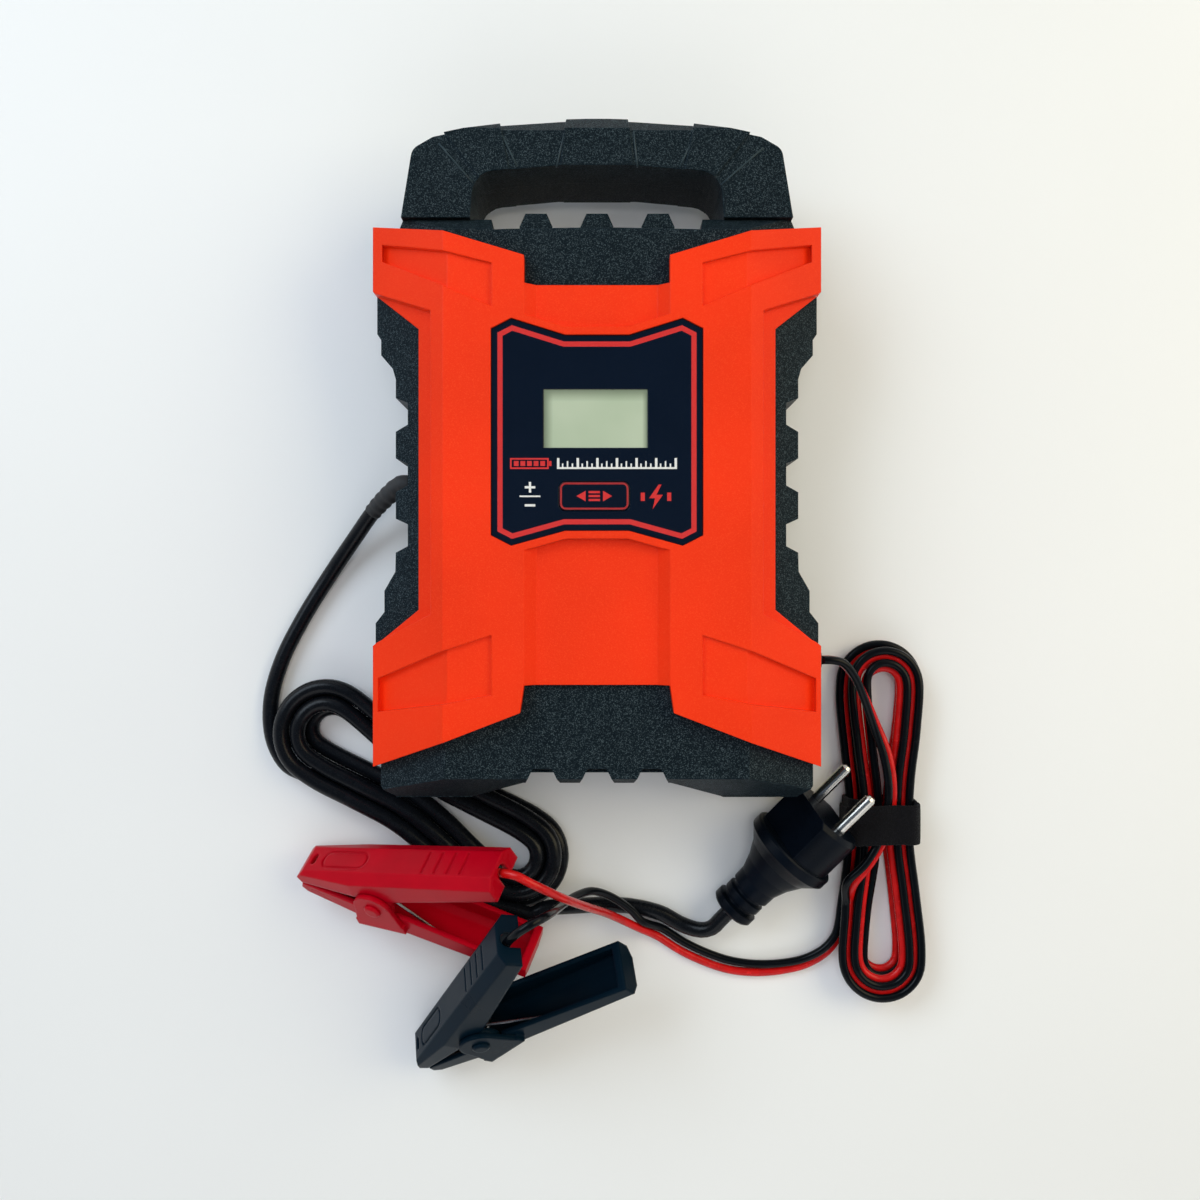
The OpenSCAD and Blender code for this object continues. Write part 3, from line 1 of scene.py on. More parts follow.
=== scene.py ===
import json
import math
from collections import namedtuple
import bpy
import bmesh
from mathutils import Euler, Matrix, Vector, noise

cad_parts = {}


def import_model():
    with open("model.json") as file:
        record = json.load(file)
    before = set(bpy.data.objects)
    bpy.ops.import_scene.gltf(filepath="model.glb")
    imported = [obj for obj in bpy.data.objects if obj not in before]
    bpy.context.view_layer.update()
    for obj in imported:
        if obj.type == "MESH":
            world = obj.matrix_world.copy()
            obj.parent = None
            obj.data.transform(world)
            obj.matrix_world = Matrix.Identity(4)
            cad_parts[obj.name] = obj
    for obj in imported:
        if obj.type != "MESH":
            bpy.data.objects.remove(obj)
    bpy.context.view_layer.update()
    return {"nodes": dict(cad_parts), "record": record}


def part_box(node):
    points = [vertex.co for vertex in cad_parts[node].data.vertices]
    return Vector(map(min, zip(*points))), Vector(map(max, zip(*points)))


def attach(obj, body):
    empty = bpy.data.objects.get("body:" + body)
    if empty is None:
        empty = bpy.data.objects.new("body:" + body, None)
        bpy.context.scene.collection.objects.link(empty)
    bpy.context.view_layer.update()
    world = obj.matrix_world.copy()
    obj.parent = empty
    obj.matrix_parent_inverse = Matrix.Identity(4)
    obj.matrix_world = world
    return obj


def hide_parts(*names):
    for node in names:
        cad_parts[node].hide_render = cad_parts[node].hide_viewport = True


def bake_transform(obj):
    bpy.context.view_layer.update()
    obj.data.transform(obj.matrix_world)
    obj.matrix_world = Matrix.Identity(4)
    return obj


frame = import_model()
NODES = frame["nodes"]

# A car battery charger lying face up, with its cords.
MM = 0.001

# ---- camera: above the object, looking straight down --------------------------------------------
CAM_Y, CAM_Z = -53.1, 520
FOCAL_PX, CENTRE_PX = 1225, (597, 600)      # the same camera in a frame of 1200 x 1200
cam_data = bpy.data.cameras.new("view_camera")
cam_data.sensor_width = 36
cam_data.lens = 36.75
cam_data.shift_x = 0.0025
cam_data.clip_start = 0.01
cam = bpy.data.objects.new("view_camera", cam_data)
cam.location = (0, CAM_Y * MM, CAM_Z * MM)
cam.rotation_euler = (0, 0, 0)
bpy.context.scene.collection.objects.link(cam)
bpy.context.scene.camera = cam
bpy.context.scene.view_settings.view_transform = "Standard"


# ---- vectors and curves -------------------------------------------------------------------------
def V(*p):
    return Vector(p)


def turned(p, at, turn):
    """A point moved as OpenSCAD's translate(at) rotate(turn) moves it."""
    return Vector(at) + Euler([math.radians(a) for a in turn], "XYZ").to_matrix() @ Vector(p)


def ease(x):
    """0 before 0, 1 after 1, smooth between."""
    c = min(1.0, max(0.0, x))
    return c * c * (3 - 2 * c)


SPLINE_PARTS = 12


def smooth_path(points, step):
    """A centripetal spline through the points, resampled at an even step."""
    p = [points[0] * 2 - points[1]] + list(points) + [points[-1] * 2 - points[-2]]
    dense = []
    for i in range(1, len(p) - 2):
        k = [0.0]
        for a, b in zip(p[i - 1:i + 2], p[i:i + 3]):
            k.append(k[-1] + max(1e-6, (b - a).length) ** 0.5)
        for j in range(SPLINE_PARTS):
            t = k[1] + (k[2] - k[1]) * j / SPLINE_PARTS
            a1 = p[i - 1].lerp(p[i], (t - k[0]) / (k[1] - k[0]))
            a2 = p[i].lerp(p[i + 1], (t - k[1]) / (k[2] - k[1]))
            a3 = p[i + 1].lerp(p[i + 2], (t - k[2]) / (k[3] - k[2]))
            b1 = a1.lerp(a2, (t - k[0]) / (k[2] - k[0]))
            b2 = a2.lerp(a3, (t - k[1]) / (k[3] - k[1]))
            dense.append(b1.lerp(b2, (t - k[1]) / (k[2] - k[1])))
    dense.append(points[-1].copy())
    total = sum((b - a).length for a, b in zip(dense, dense[1:]))
    count = max(2, round(total / step))
    out, walked, i = [dense[0]], 0.0, 0
    for n in range(1, count):
        goal = total * n / count
        while walked + (dense[i + 1] - dense[i]).length < goal:
            walked += (dense[i + 1] - dense[i]).length
            i += 1
        seg = dense[i + 1] - dense[i]
        out.append(dense[i] + seg * ((goal - walked) / seg.length))
    out.append(dense[-1])
    return out


# ---- routes of the cords, as in the part's source -----------------------------------------------
# A bundle is a flat coil: two straight sides, waisted by the tie, and two round ends. It is centred
# at `centre` and turned by `yaw`; `half` is half a side's length, `radius` the outer turn's radius,
# `waist` how far the tie draws a side in, `pitch` the step from turn to turn. The coil starts at
# the height `first_z` and crosses to `last_z` at half of its turns.
Bundle = namedtuple("Bundle", "centre yaw half radius waist pitch first_z last_z turns")
RUN = 5 / 24            # a straight side's share of one turn
RINGS = 24              # points to a turn


def bundle_local(t, s, out):
    """The coil's point after t turns, in its own plane, moved outwards by out."""
    r = s.radius - s.pitch * min(t, s.turns - t) + out
    w = t + RUN / 2
    u = w - math.floor(w)
    if u < RUN:
        a = s.half * (2 * u / RUN - 1)
        return a, -r + s.waist * math.cos(math.radians(90 * a / s.half)) ** 2
    if u < 0.5:
        c = math.radians(-90 + 180 * (u - RUN) / (0.5 - RUN))
        return s.half + r * math.cos(c), r * math.sin(c)
    if u < 0.5 + RUN:
        a = s.half * (1 - 2 * (u - 0.5) / RUN)
        return a, r - s.waist * math.cos(math.radians(90 * a / s.half)) ** 2
    c = math.radians(90 + 180 * (u - 0.5 - RUN) / (0.5 - RUN))
    return -s.half + r * math.cos(c), r * math.sin(c)


def bundle_at(t, s, out=0.0, lift=0.0):
    """The coil's point after t turns, in the part's frame."""
    x, y = bundle_local(t, s, out)
    climb = ease((t - s.turns / 2) / RUN + 0.5)
    a = math.radians(s.yaw)
    return V(s.centre[0] + x * math.cos(a) - y * math.sin(a),
             s.centre[1] + x * math.sin(a) + y * math.cos(a),
             s.first_z + (s.last_z - s.first_z) * climb + lift)


def before(p, length):
    """A point on the line's own direction before its start."""
    return p[0] - (p[1] - p[0]).normalized() * length


def after(p, length):
    """A point on the line's own direction after its end."""
    return p[-1] + (p[-1] - p[-2]).normalized() * length


def steps_of(span):
    return round((span[1] - span[0]) * RINGS)


def step_at(span, i):
    """The turn of point i on a coil that runs over span."""
    return span[0] + (span[1] - span[0]) * i / steps_of(span)


# The mains cord: from the housing to the coil, round it, and on to the plug.
MAINS_D = 6.5
MAINS_BUNDLE = Bundle(centre=(-73, -134), yaw=-33.9, half=47, radius=21, waist=4.8,
                      pitch=MAINS_D + 0.5, first_z=MAINS_D / 2, last_z=MAINS_D * 1.5 + 0.5, turns=4)
MAINS_T = (-0.1, 4.16)
PLUG_PITCH, PLUG_YAW = 13, 48
PLUG_RIM, PLUG_RIM_BACK = 19, 2.2           # the plug rests on its rim
PLUG_AT = (79.6, -155, PLUG_RIM * math.cos(math.radians(PLUG_PITCH))
           + PLUG_RIM_BACK * math.sin(math.radians(PLUG_PITCH)) + 0.1)
PLUG_TURN = (0, -PLUG_PITCH, PLUG_YAW)
PLUG_TAIL = -36.6


def on_plug(x):
    return turned((x, 0, 0), PLUG_AT, PLUG_TURN)


MAINS_IN = [(-76.2, -6.5, 20), (-80.2, -6.5, 20), (-84, -9, 18.5), (-92, -16, 13.5), (-101, -27, 8),
            (-112, -42, 4.2), (-124, -61, 3.3), (-133, -79, 3.3), (-137.5, -96, 3.3),
            (-136.5, -112, 3.3)]
MAINS_OUT = [(-22, -181.7, 9.6), (-9, -181.2, 7), (4, -181.4, 4), (16, -182.4, 3.3),
             (27, -185.2, 3.3), (36, -189.8, 4.2), (43.5, -191.4, 6.4), (48.2, -189.9, 8.2)]
mains_loops = [bundle_at(step_at(MAINS_T, i), MAINS_BUNDLE) for i in range(steps_of(MAINS_T) + 1)]
mains_points = ([Vector(p) for p in MAINS_IN] + [before(mains_loops, 9)] + mains_loops
                + [after(mains_loops, 7)] + [Vector(p) for p in MAINS_OUT]
                + [on_plug(PLUG_TAIL - 6.5), on_plug(PLUG_TAIL)])

# The twin lead: a point of the pair is its middle and the angle at which the two lie side by side.
LEAD_D, LEAD_R = 3.4, 1.7
PAIR_R, ROOM = 1.75, 0.2                    # half the pair's spacing, and more where it runs free
TILT, LEVEL = -130, -90                     # the pair's angle in the hank, and at its crossing
LOW_Z = LEAD_R - PAIR_R * math.sin(math.radians(TILT))
LEAD_BUNDLE = Bundle(centre=(119, -145), yaw=-90, half=57, radius=16.5, waist=4.9, pitch=5,
                     first_z=1 + LOW_Z + 6.6, last_z=1 + LOW_Z, turns=4)
LEAD_T = (0.07, 4.07)
PAIR_IN = [(89.5, -77.1, 29.25, -90), (93.5, -77.1, 29.25, -90), (98.5, -78.3, 28.45, -90),
           (103.5, -83.5, 26, -95), (108.5, -92.5, 22.3, -105), (113.8, -104.5, 18.6, -120),
           (118.5, -116.5, 17.4, -130), (120.5, -128.5, 17.3, -130), (119.8, -141, 17.3, -130),
           (116.3, -152.5, 17.5, -130), (110.6, -161.8, 17.8, -130), (104.2, -169.4, 16.8, -150)]
PAIR_OUT = [(101.2, -194, 3.9, -128), (96.5, -200.5, 3.4, -135), (88, -205.5, 3, -145),
            (77, -208, 2.7, -155), (66, -208.6, 2.25, -168), (55.5, -207.3, 1.9, -178),
            (45.5, -204, 1.8, -180), (36, -199.5, 1.8, -180), (27, -193.8, 1.8, -180)]
# From the pair's end, each lead rises to its clamp alone.
RED_END = [(17.8, -190.7, 6.3), (9.5, -185.4, 12), (3.7, -180.9, 20), (-2, -176.3, 31),
           (-7.8, -171, 44), (-13.6, -165.8, 56), (-19.4, -161.2, 63.5), (-24.8, -158, 66),
           (-30, -155.4, 66)]
BLACK_END = [(18.8, -187.3, 8.2), (14.6, -182.7, 9.5), (9.5, -178.3, 12), (3.7, -174.4, 15.5),
             (-2, -171.8, 20.5), (-7.2, -171.4, 28), (-12.2, -171.7, 39), (-14.9, -170.8, 51.9),
             (-17, -169.2, 65.6), (-19.9, -168.7, 75.2), (-24, -170.2, 78.3), (-28.2, -172.9, 78.2)]
# Inside the handle, in the clamp's own frame: reach, side and lift off the line of the handle.
RED_INNER = [(63, 0, -0.1), (56, 0, -1.5), (49, 0, -1), (42, 0, 0), (36, 0, 0), (30, 0, 0)]
BLACK_INNER = [(65.1, -0.8, 0.3), (57, 0, -0.5), (49, 0, 0), (42, 0, 0), (36, 0, 0), (30, 0, 0)]
RED_AT, RED_TURN = (-85.6, -168.7, 22.9), (-43.5, -20.3, -7)
BLACK_AT, BLACK_TURN = (-47.7, -220.9, 26.8), (-49.8, -31.1, 42.1)
STUB_ANGLE, STUB_REACH = 26.4, 66.0         # the line of the handle, and its end


def stub(reach, side=0, lift=0):
    """A point on or beside the line of the handle, in the clamp's own frame."""
    a = math.radians(STUB_ANGLE)
    return (reach * math.cos(a) - lift * math.sin(a), side,
            reach * math.sin(a) + lift * math.cos(a))


def pair_side(route, side, origin, goal):
    """One lead of the pair along the route, on the side 1 or -1."""
    out = []
    for i, q in enumerate(route):
        a = route[i - 1] if i else origin
        b = route[i + 1] if i < len(route) - 1 else goal
        t = V(b[0] - a[0], b[1] - a[1]).normalized()
        c = math.radians(q[3])
        shift = V(math.cos(c) * t.y, -math.cos(c) * t.x, math.sin(c)) * (PAIR_R + ROOM)
        out.append(Vector(q[:3]) + shift * side)
    return out


def lead_loops(side):
    """One lead of the pair round the hank. The pair lies level where the turns cross."""
    out = []
    for i in range(steps_of(LEAD_T) + 1):
        t = step_at(LEAD_T, i)
        from_crossing = (abs(t - LEAD_BUNDLE.turns / 2) - RUN / 2) / 0.15
        a = math.radians(TILT - (TILT - LEVEL) * (1 - ease(from_crossing)))
        out.append(bundle_at(t, LEAD_BUNDLE, side * PAIR_R * math.cos(a),
                             side * PAIR_R * math.sin(a)))
    return out


def lead_points(side, route, inner, at, turn):
    """A whole lead: out of the housing, round the hank, back, and up into its clamp's handle."""
    loops = lead_loops(side)
    start = (PAIR_IN[0][0] - 1, PAIR_IN[0][1], PAIR_IN[0][2])
    into = pair_side(PAIR_IN, side, start, bundle_at(LEAD_T[0], LEAD_BUNDLE))
    meet = (Vector(RED_END[0]) + Vector(BLACK_END[0])) / 2
    away = pair_side(PAIR_OUT, side, bundle_at(LEAD_T[1], LEAD_BUNDLE), meet)
    return (into + [before(loops, 5)] + loops + [after(loops, 5)] + away
            + [Vector(p) for p in route]
            + [turned(stub(*q), at, turn) for q in inner])


def lead_line(points, at, turn):
    """The lead's line up to the handle's end, and the wire's line from there to its crimp."""
    line = smooth_path(points, 1.7)
    exit_point = turned(stub(STUB_REACH), at, turn)
    cut = min(range(len(line)), key=lambda i: (line[i] - exit_point).length)
    return line[:cut + 1], line[cut:]


red_points = lead_points(1, RED_END, RED_INNER, RED_AT, RED_TURN)
black_points = lead_points(-1, BLACK_END, BLACK_INNER, BLACK_AT, BLACK_TURN)
red_lead, red_wire = lead_line(red_points, RED_AT, RED_TURN)
black_lead, black_wire = lead_line(black_points, BLACK_AT, BLACK_TURN)


TABLE_GAP = 0.03


def cord_mesh(name, line, diameter, sides):
    """A round tube on a smooth line, kept just above the table, and that line in metres."""
    for p in line:
        p.z = max(p.z, diameter / 2 + TABLE_GAP)
    verts, faces = [], []
    normal = V(0, 0, 1)
    for i, p in enumerate(line):
        t = (line[min(i + 1, len(line) - 1)] - line[max(i - 1, 0)]).normalized()
        normal = (normal - t * normal.dot(t)).normalized()
        other = t.cross(normal)
        for k in range(sides):
            a = 2 * math.pi * k / sides
            reach = (normal * math.cos(a) + other * math.sin(a)) * (diameter / 2)
            verts.append((p + reach) * MM)
    for i in range(len(line) - 1):
        for k in range(sides):
            a, b = i * sides + k, i * sides + (k + 1) % sides
            faces.append([a, b, b + sides, a + sides])
    faces.append(list(range(sides))[::-1])
    faces.append(list(range((len(line) - 1) * sides, len(line) * sides)))
    mesh = bpy.data.meshes.new(name)
    mesh.from_pydata(verts, [], faces)
    for p in mesh.polygons[:-2]:
        p.use_smooth = True
    obj = bpy.data.objects.new(name, mesh)
    bpy.context.scene.collection.objects.link(obj)
    return obj, [tuple(p * MM) for p in line]


mains_cord, mains_line = cord_mesh("mains_cord", smooth_path(mains_points, 2.4), MAINS_D, 18)
red_cord, red_line = cord_mesh("red_cord", red_lead, LEAD_D, 14)
black_cord, black_line = cord_mesh("black_cord", black_lead, LEAD_D, 14)
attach(mains_cord, "charger")
# The last bow of each lead follows its clamp's handle.
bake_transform(red_cord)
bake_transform(black_cord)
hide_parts("mains_lead", "mains_coil")
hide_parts("red_lead", "red_hank")
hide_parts("black_lead", "black_hank")


# ---- materials ----------------------------------------------------------------------------------
class Nodes:
    """A material's node tree, with short calls for the nodes that most finishes share."""

    def __init__(self, name):
        self.mat = bpy.data.materials.new(name)
        self.mat.use_nodes = True
        self.tree = self.mat.node_tree
        self.shader = self.tree.nodes["Principled BSDF"]
        self.place = self.add("ShaderNodeTexCoord").outputs["Object"]

    def add(self, kind, **values):
        node = self.tree.nodes.new(kind)
        for key, value in values.items():
            setattr(node, key, value)
        return node

    def link(self, a, b):
        self.tree.links.new(a, b)

    def noise(self, scale, detail=3.0, rough=0.5, where=None):
        """Soft noise from 0 to 1, of about scale bumps to a metre."""
        n = self.add("ShaderNodeTexNoise")
        n.inputs["Scale"].default_value = scale
        n.inputs["Detail"].default_value = detail
        n.inputs["Roughness"].default_value = rough
        self.link(where or self.place, n.inputs["Vector"])
        return n.outputs["Fac"]

    def cells(self, scale):
        """The distance from the middle of each small cell."""
        n = self.add("ShaderNodeTexVoronoi")
        n.inputs["Scale"].default_value = scale
        self.link(self.place, n.inputs["Vector"])
        return n.outputs["Distance"]

    def grains(self, size):
        """A random value for each small cell."""
        n = self.add("ShaderNodeTexVoronoi")
        n.inputs["Scale"].default_value = 1 / size
        self.link(self.place, n.inputs["Vector"])
        part = self.add("ShaderNodeSeparateColor")
        self.link(n.outputs["Color"], part.inputs[0])
        return part.outputs[0]

    def spread(self, value, low, high, to_low=0.0, to_high=1.0):
        """The range from low to high mapped on another range, and held at its ends."""
        n = self.add("ShaderNodeMapRange")
        n.inputs["From Min"].default_value = low
        n.inputs["From Max"].default_value = high
        n.inputs["To Min"].default_value = to_low
        n.inputs["To Max"].default_value = to_high
        self.link(value, n.inputs["Value"])
        return n.outputs["Result"]

    def maths(self, kind, a, b):
        n = self.add("ShaderNodeMath", operation=kind)
        for socket, v in zip(n.inputs, (a, b)):
            if isinstance(v, (int, float)):
                socket.default_value = v
            else:
                self.link(v, socket)
        return n.outputs[0]

    def mix(self, fac, a, b):
        """Colour a where fac is 0, colour b where it is 1."""
        n = self.add("ShaderNodeMix", data_type="RGBA")
        for key, v in ((0, fac), (6, a), (7, b)):
            if isinstance(v, (int, float)):
                n.inputs[key].default_value = v
            elif isinstance(v, tuple):
                n.inputs[key].default_value = (*v, 1)
            else:
                self.link(v, n.inputs[key])
        return n.outputs[2]

    def edges(self, radius):
        """Rounded normals, and a mask that is 1 along the edges they round."""
        bevel = self.add("ShaderNodeBevel", samples=6)
        bevel.inputs["Radius"].default_value = radius
        true = self.add("ShaderNodeNewGeometry").outputs["True Normal"]
        dot = self.add("ShaderNodeVectorMath", operation="DOT_PRODUCT")
        self.link(bevel.outputs["Normal"], dot.inputs[0])
        self.link(true, dot.inputs[1])
        return bevel.outputs["Normal"], self.spread(dot.outputs["Value"], 0.995, 0.86)

    def bump(self, height, depth, strength=1.0, normal=None):
        n = self.add("ShaderNodeBump")
        n.inputs["Distance"].default_value = depth
        n.inputs["Strength"].default_value = strength
        self.link(height, n.inputs["Height"])
        if normal is not None:
            self.link(normal, n.inputs["Normal"])
        return n.outputs["Normal"]

    def out(self, colour, rough, normal, **values):
        """The material, with constants set on the shader's own sockets."""
        self.link(colour, self.shader.inputs["Base Color"])
        self.link(rough, self.shader.inputs["Roughness"])
        self.link(normal, self.shader.inputs["Normal"])
        for key, value in values.items():
            self.shader.inputs[key.replace("_", " ")].default_value = value
        return self.mat


def shade(colour, k):
    return tuple(c * k for c in colour)


# In the finishes, sizes such as grain, depth and edge are in metres. Grain is the size of the
# texture, depth its height, edge the radius that rounds the corners; light is how much paler the
# painted highlights on the corners and the painted glints are than the colour, and the glint share
# how much of the glints shows; spark, where given, is the glints' own colour.
def moulded(name, colour, rough, grain=0.0011, depth=0.00008, edge=0.0006, light=1.5, glint_share=0.15,
            strength=0.6, spark=None, **values):
    """Moulded plastic: spark-textured, with its glints painted as pale dots and a painted
    highlight on its corners, which are also smoother.
    """
    n = Nodes(name)
    fine = n.noise(1.6 / grain, 2.0, 0.6)
    slow = n.noise(18, 2.0)
    scuff = n.noise(140, 4.0, 0.65)
    point = n.grains(grain * 0.30)
    base = n.mix(n.spread(slow, 0.3, 0.7), shade(colour, 0.93), shade(colour, 1.06))
    # Painted glints: pale dots in the spark colour on some of the small cells.
    base = n.mix(n.spread(point, 0.70, 1.0, 0.0, glint_share), base, spark or shade(colour, light))
    round_normal, edge_mask = n.edges(edge)
    # Painted highlight: the rounded corners lightened.
    base = n.mix(n.maths("MULTIPLY", edge_mask, 0.5), base, shade(colour, light))
    r = n.spread(fine, 0.3, 0.7, rough + 0.06, rough - 0.06)
    r = n.maths("ADD", r, n.spread(scuff, 0.45, 0.75, 0.0, 0.06))
    r = n.maths("SUBTRACT", r, n.maths("MULTIPLY", edge_mask, 0.12))
    return n.out(base, r, n.bump(fine, depth, strength, round_normal), **values)


def polished(name, colour, rough, drift=0.06, edge=0.0004, **values):
    """Smooth glossy plastic, with faint haze and dust."""
    n = Nodes(name)
    haze = n.noise(55, 4.0, 0.6)
    dust = n.cells(2600)
    base = n.mix(n.spread(haze, 0.35, 0.7), shade(colour, 1 - drift), shade(colour, 1 + drift))
    base = n.mix(n.spread(dust, 0.10, 0.05, 0.0, 0.05), base, (0.4, 0.4, 0.4))
    round_normal, _ = n.edges(edge)
    r = n.spread(haze, 0.3, 0.75, rough * 0.8, rough * 1.4)
    return n.out(base, r, n.bump(haze, 0.00002, 0.25, round_normal), **values)


def satin(name, colour, level, rough=0.30):
    """Smooth moulded plastic with soft corners lightened by a painted highlight, and faint flow
    marks, at a specular level.
    """
    n = Nodes(name)
    flow = n.noise(45, 3.0, 0.55)
    fine = n.noise(1500, 2.0)
    base = n.mix(n.spread(flow, 0.3, 0.7), shade(colour, 0.88), shade(colour, 1.1))
    round_normal, edge_mask = n.edges(0.0014)
    # Painted highlight: the rounded edges lightened.
    base = n.mix(n.maths("MULTIPLY", edge_mask, 0.3), base, shade(colour, 1.7))
    r = n.spread(flow, 0.3, 0.7, rough - 0.04, rough + 0.06)
    return n.out(base, r, n.bump(fine, 0.00001, 0.15, round_normal), Specular_IOR_Level=level)


def metal(name, colour, rough, along=(1, 1, 8), scale=900, dark=0.75, edge=0.0003):
    """Metal with fine drawn scratches and a little tarnish."""
    n = Nodes(name)
    stretch = n.add("ShaderNodeMapping")
    stretch.inputs["Scale"].default_value = along
    n.link(n.place, stretch.inputs["Vector"])
    lines = n.noise(scale, 3.0, 0.6, stretch.outputs["Vector"])
    stain = n.noise(220, 3.0, 0.6)
    base = n.mix(n.spread(stain, 0.35, 0.7), shade(colour, dark), colour)
    round_normal, _ = n.edges(edge)
    r = n.spread(lines, 0.3, 0.7, rough * 0.75, rough * 1.35)
    return n.out(base, r, n.bump(lines, 0.00002, 0.5, round_normal), Metallic=1.0)


def rubber(name, colour, rough, grain=0.0008, depth=0.00004, edge=0.0004, light=1.8, **values):
    """Moulded rubber with a faint bloom, and a painted highlight along its edges."""
    n = Nodes(name)
    fine = n.noise(1 / grain, 3.0, 0.6)
    bloom = n.noise(60, 4.0, 0.6)
    base = n.mix(n.spread(bloom, 0.4, 0.75), colour, shade(colour, light))
    round_normal, edge_mask = n.edges(edge)
    # Painted highlight: the rounded edges lightened.
    base = n.mix(n.maths("MULTIPLY", edge_mask, 0.35), base, shade(colour, light))
    r = n.maths("ADD", n.spread(fine, 0.3, 0.7, rough - 0.05, rough + 0.05),
                n.spread(bloom, 0.4, 0.8, 0.0, 0.08))
    return n.out(base, r, n.bump(fine, depth, 0.5, round_normal), **values)


def pvc(name, colour, rough, **values):
    """Cord sheath: smooth, with the faint waviness and scuffs of extruded plastic."""
    n = Nodes(name)
    wave = n.noise(240, 2.0)
    scuff = n.noise(420, 4.0, 0.6)
    base = n.mix(n.spread(wave, 0.35, 0.7), shade(colour, 0.88), shade(colour, 1.12))
    base = n.mix(n.spread(scuff, 0.60, 0.75, 0.0, 0.5), base, shade(colour, 1.8))
    r = n.spread(scuff, 0.35, 0.75, rough - 0.04, rough + 0.08)
    return n.out(base, r, n.bump(wave, 0.00003, 0.25), **values)


def board(name):
    """A green circuit board over its glass weave."""
    n = Nodes(name)
    weave = n.cells(1800)
    stain = n.noise(90, 3.0)
    base = n.mix(n.spread(stain, 0.35, 0.7), (0.010, 0.085, 0.030), (0.018, 0.13, 0.045))
    base = n.mix(n.spread(weave, 0.05, 0.3, 0.15, 0.0), base, (0.10, 0.22, 0.09))
    round_normal, _ = n.edges(0.0002)
    return n.out(base, n.spread(weave, 0, 0.4, 0.3, 0.42),
                 n.bump(weave, 0.00003, 0.4, round_normal))


def wound(name, colour, pitch, rough=0.35, metallic=0.6):
    """Wire laid turn by turn, at about the pitch given in metres, with painted shade between the
    turns.
    """
    n = Nodes(name)
    w = n.add("ShaderNodeTexWave", wave_type="BANDS", bands_direction="Z")
    w.inputs["Scale"].default_value = 1 / pitch / 3.2
    w.inputs["Distortion"].default_value = 0.6
    n.link(n.place, w.inputs["Vector"])
    turn = w.outputs["Fac"]
    # Painted shade: the wire darkened in the grooves between turns.
    base = n.mix(turn, shade(colour, 0.55), colour)
    return n.out(base, n.spread(turn, 0, 1, rough + 0.15, rough), n.bump(turn, 0.0001, 0.6),
                 Metallic=metallic)


def lcd(name, place, size):
    """The bare display: grey-green glass, with the shadow of its frame painted along the top and
    side edges.
    """
    n = Nodes(name)
    part = n.add("ShaderNodeSeparateXYZ")
    n.link(n.place, part.inputs[0])
    low, high = place.x - size[0] / 2, place.x + size[0] / 2
    left = n.spread(part.outputs["X"], low, low + 0.0035)
    right = n.spread(part.outputs["X"], high, high - 0.002)
    top = n.spread(part.outputs["Y"], place.y + size[1] / 2, place.y + size[1] / 2 - 0.0045)
    # Painted shadow of the frame: this mask falls to 0 at the top and side edges, where the glass
    # takes the dark colour.
    clear_of_painted_shadow = n.maths("MULTIPLY", n.maths("MULTIPLY", left, right), top)
    slow = n.noise(40, 2.0)
    pale = n.mix(n.spread(slow, 0.35, 0.7), (0.40, 0.48, 0.34), (0.47, 0.54, 0.40))
    base = n.mix(n.spread(clear_of_painted_shadow, 0, 1, 0.18, 1.0), (0.10, 0.13, 0.08), pale)
    fine = n.noise(5200, 1.0)
    return n.out(base, n.spread(fine, 0.3, 0.7, 0.16, 0.24), n.bump(fine, 0.00001, 0.2),
                 Coat_Weight=0.35, Coat_Roughness=0.06)


def ink(name, colour, rough=0.35):
    """Screen-printed ink, slightly uneven."""
    n = Nodes(name)
    fine = n.noise(3000, 3.0, 0.6)
    base = n.mix(n.spread(fine, 0.35, 0.7), shade(colour, 0.9), shade(colour, 1.06))
    return n.out(base, n.spread(fine, 0.3, 0.7, rough - 0.05, rough + 0.1),
                 n.bump(fine, 0.00001, 0.3))


def fleece(name, colour):
    """Hook-and-loop tape: dense looped pile, with painted highlights on the loop tops and the
    higher tufts, and painted shade between the loops.
    """
    n = Nodes(name)
    loops = n.cells(1900)
    tuft = n.noise(520, 5.0, 0.75)
    # Painted highlight and shade: the loop tops paler and the gaps between loops darker, following
    # their heights in the bump.
    base = n.mix(n.spread(loops, 0.05, 0.45), shade(colour, 2.6), shade(colour, 0.6))
    # Painted highlight: the higher tufts paler.
    base = n.mix(n.spread(tuft, 0.35, 0.7), base, shade(colour, 1.5))
    height = n.maths("ADD", tuft, n.spread(loops, 0.0, 0.5, 0.6, 0.0))
    return n.out(base, n.spread(tuft, 0, 1, 0.8, 0.98), n.bump(height, 0.0004, 0.9),
                 Sheen_Weight=0.08, Sheen_Roughness=0.4, Specular_IOR_Level=0.15)


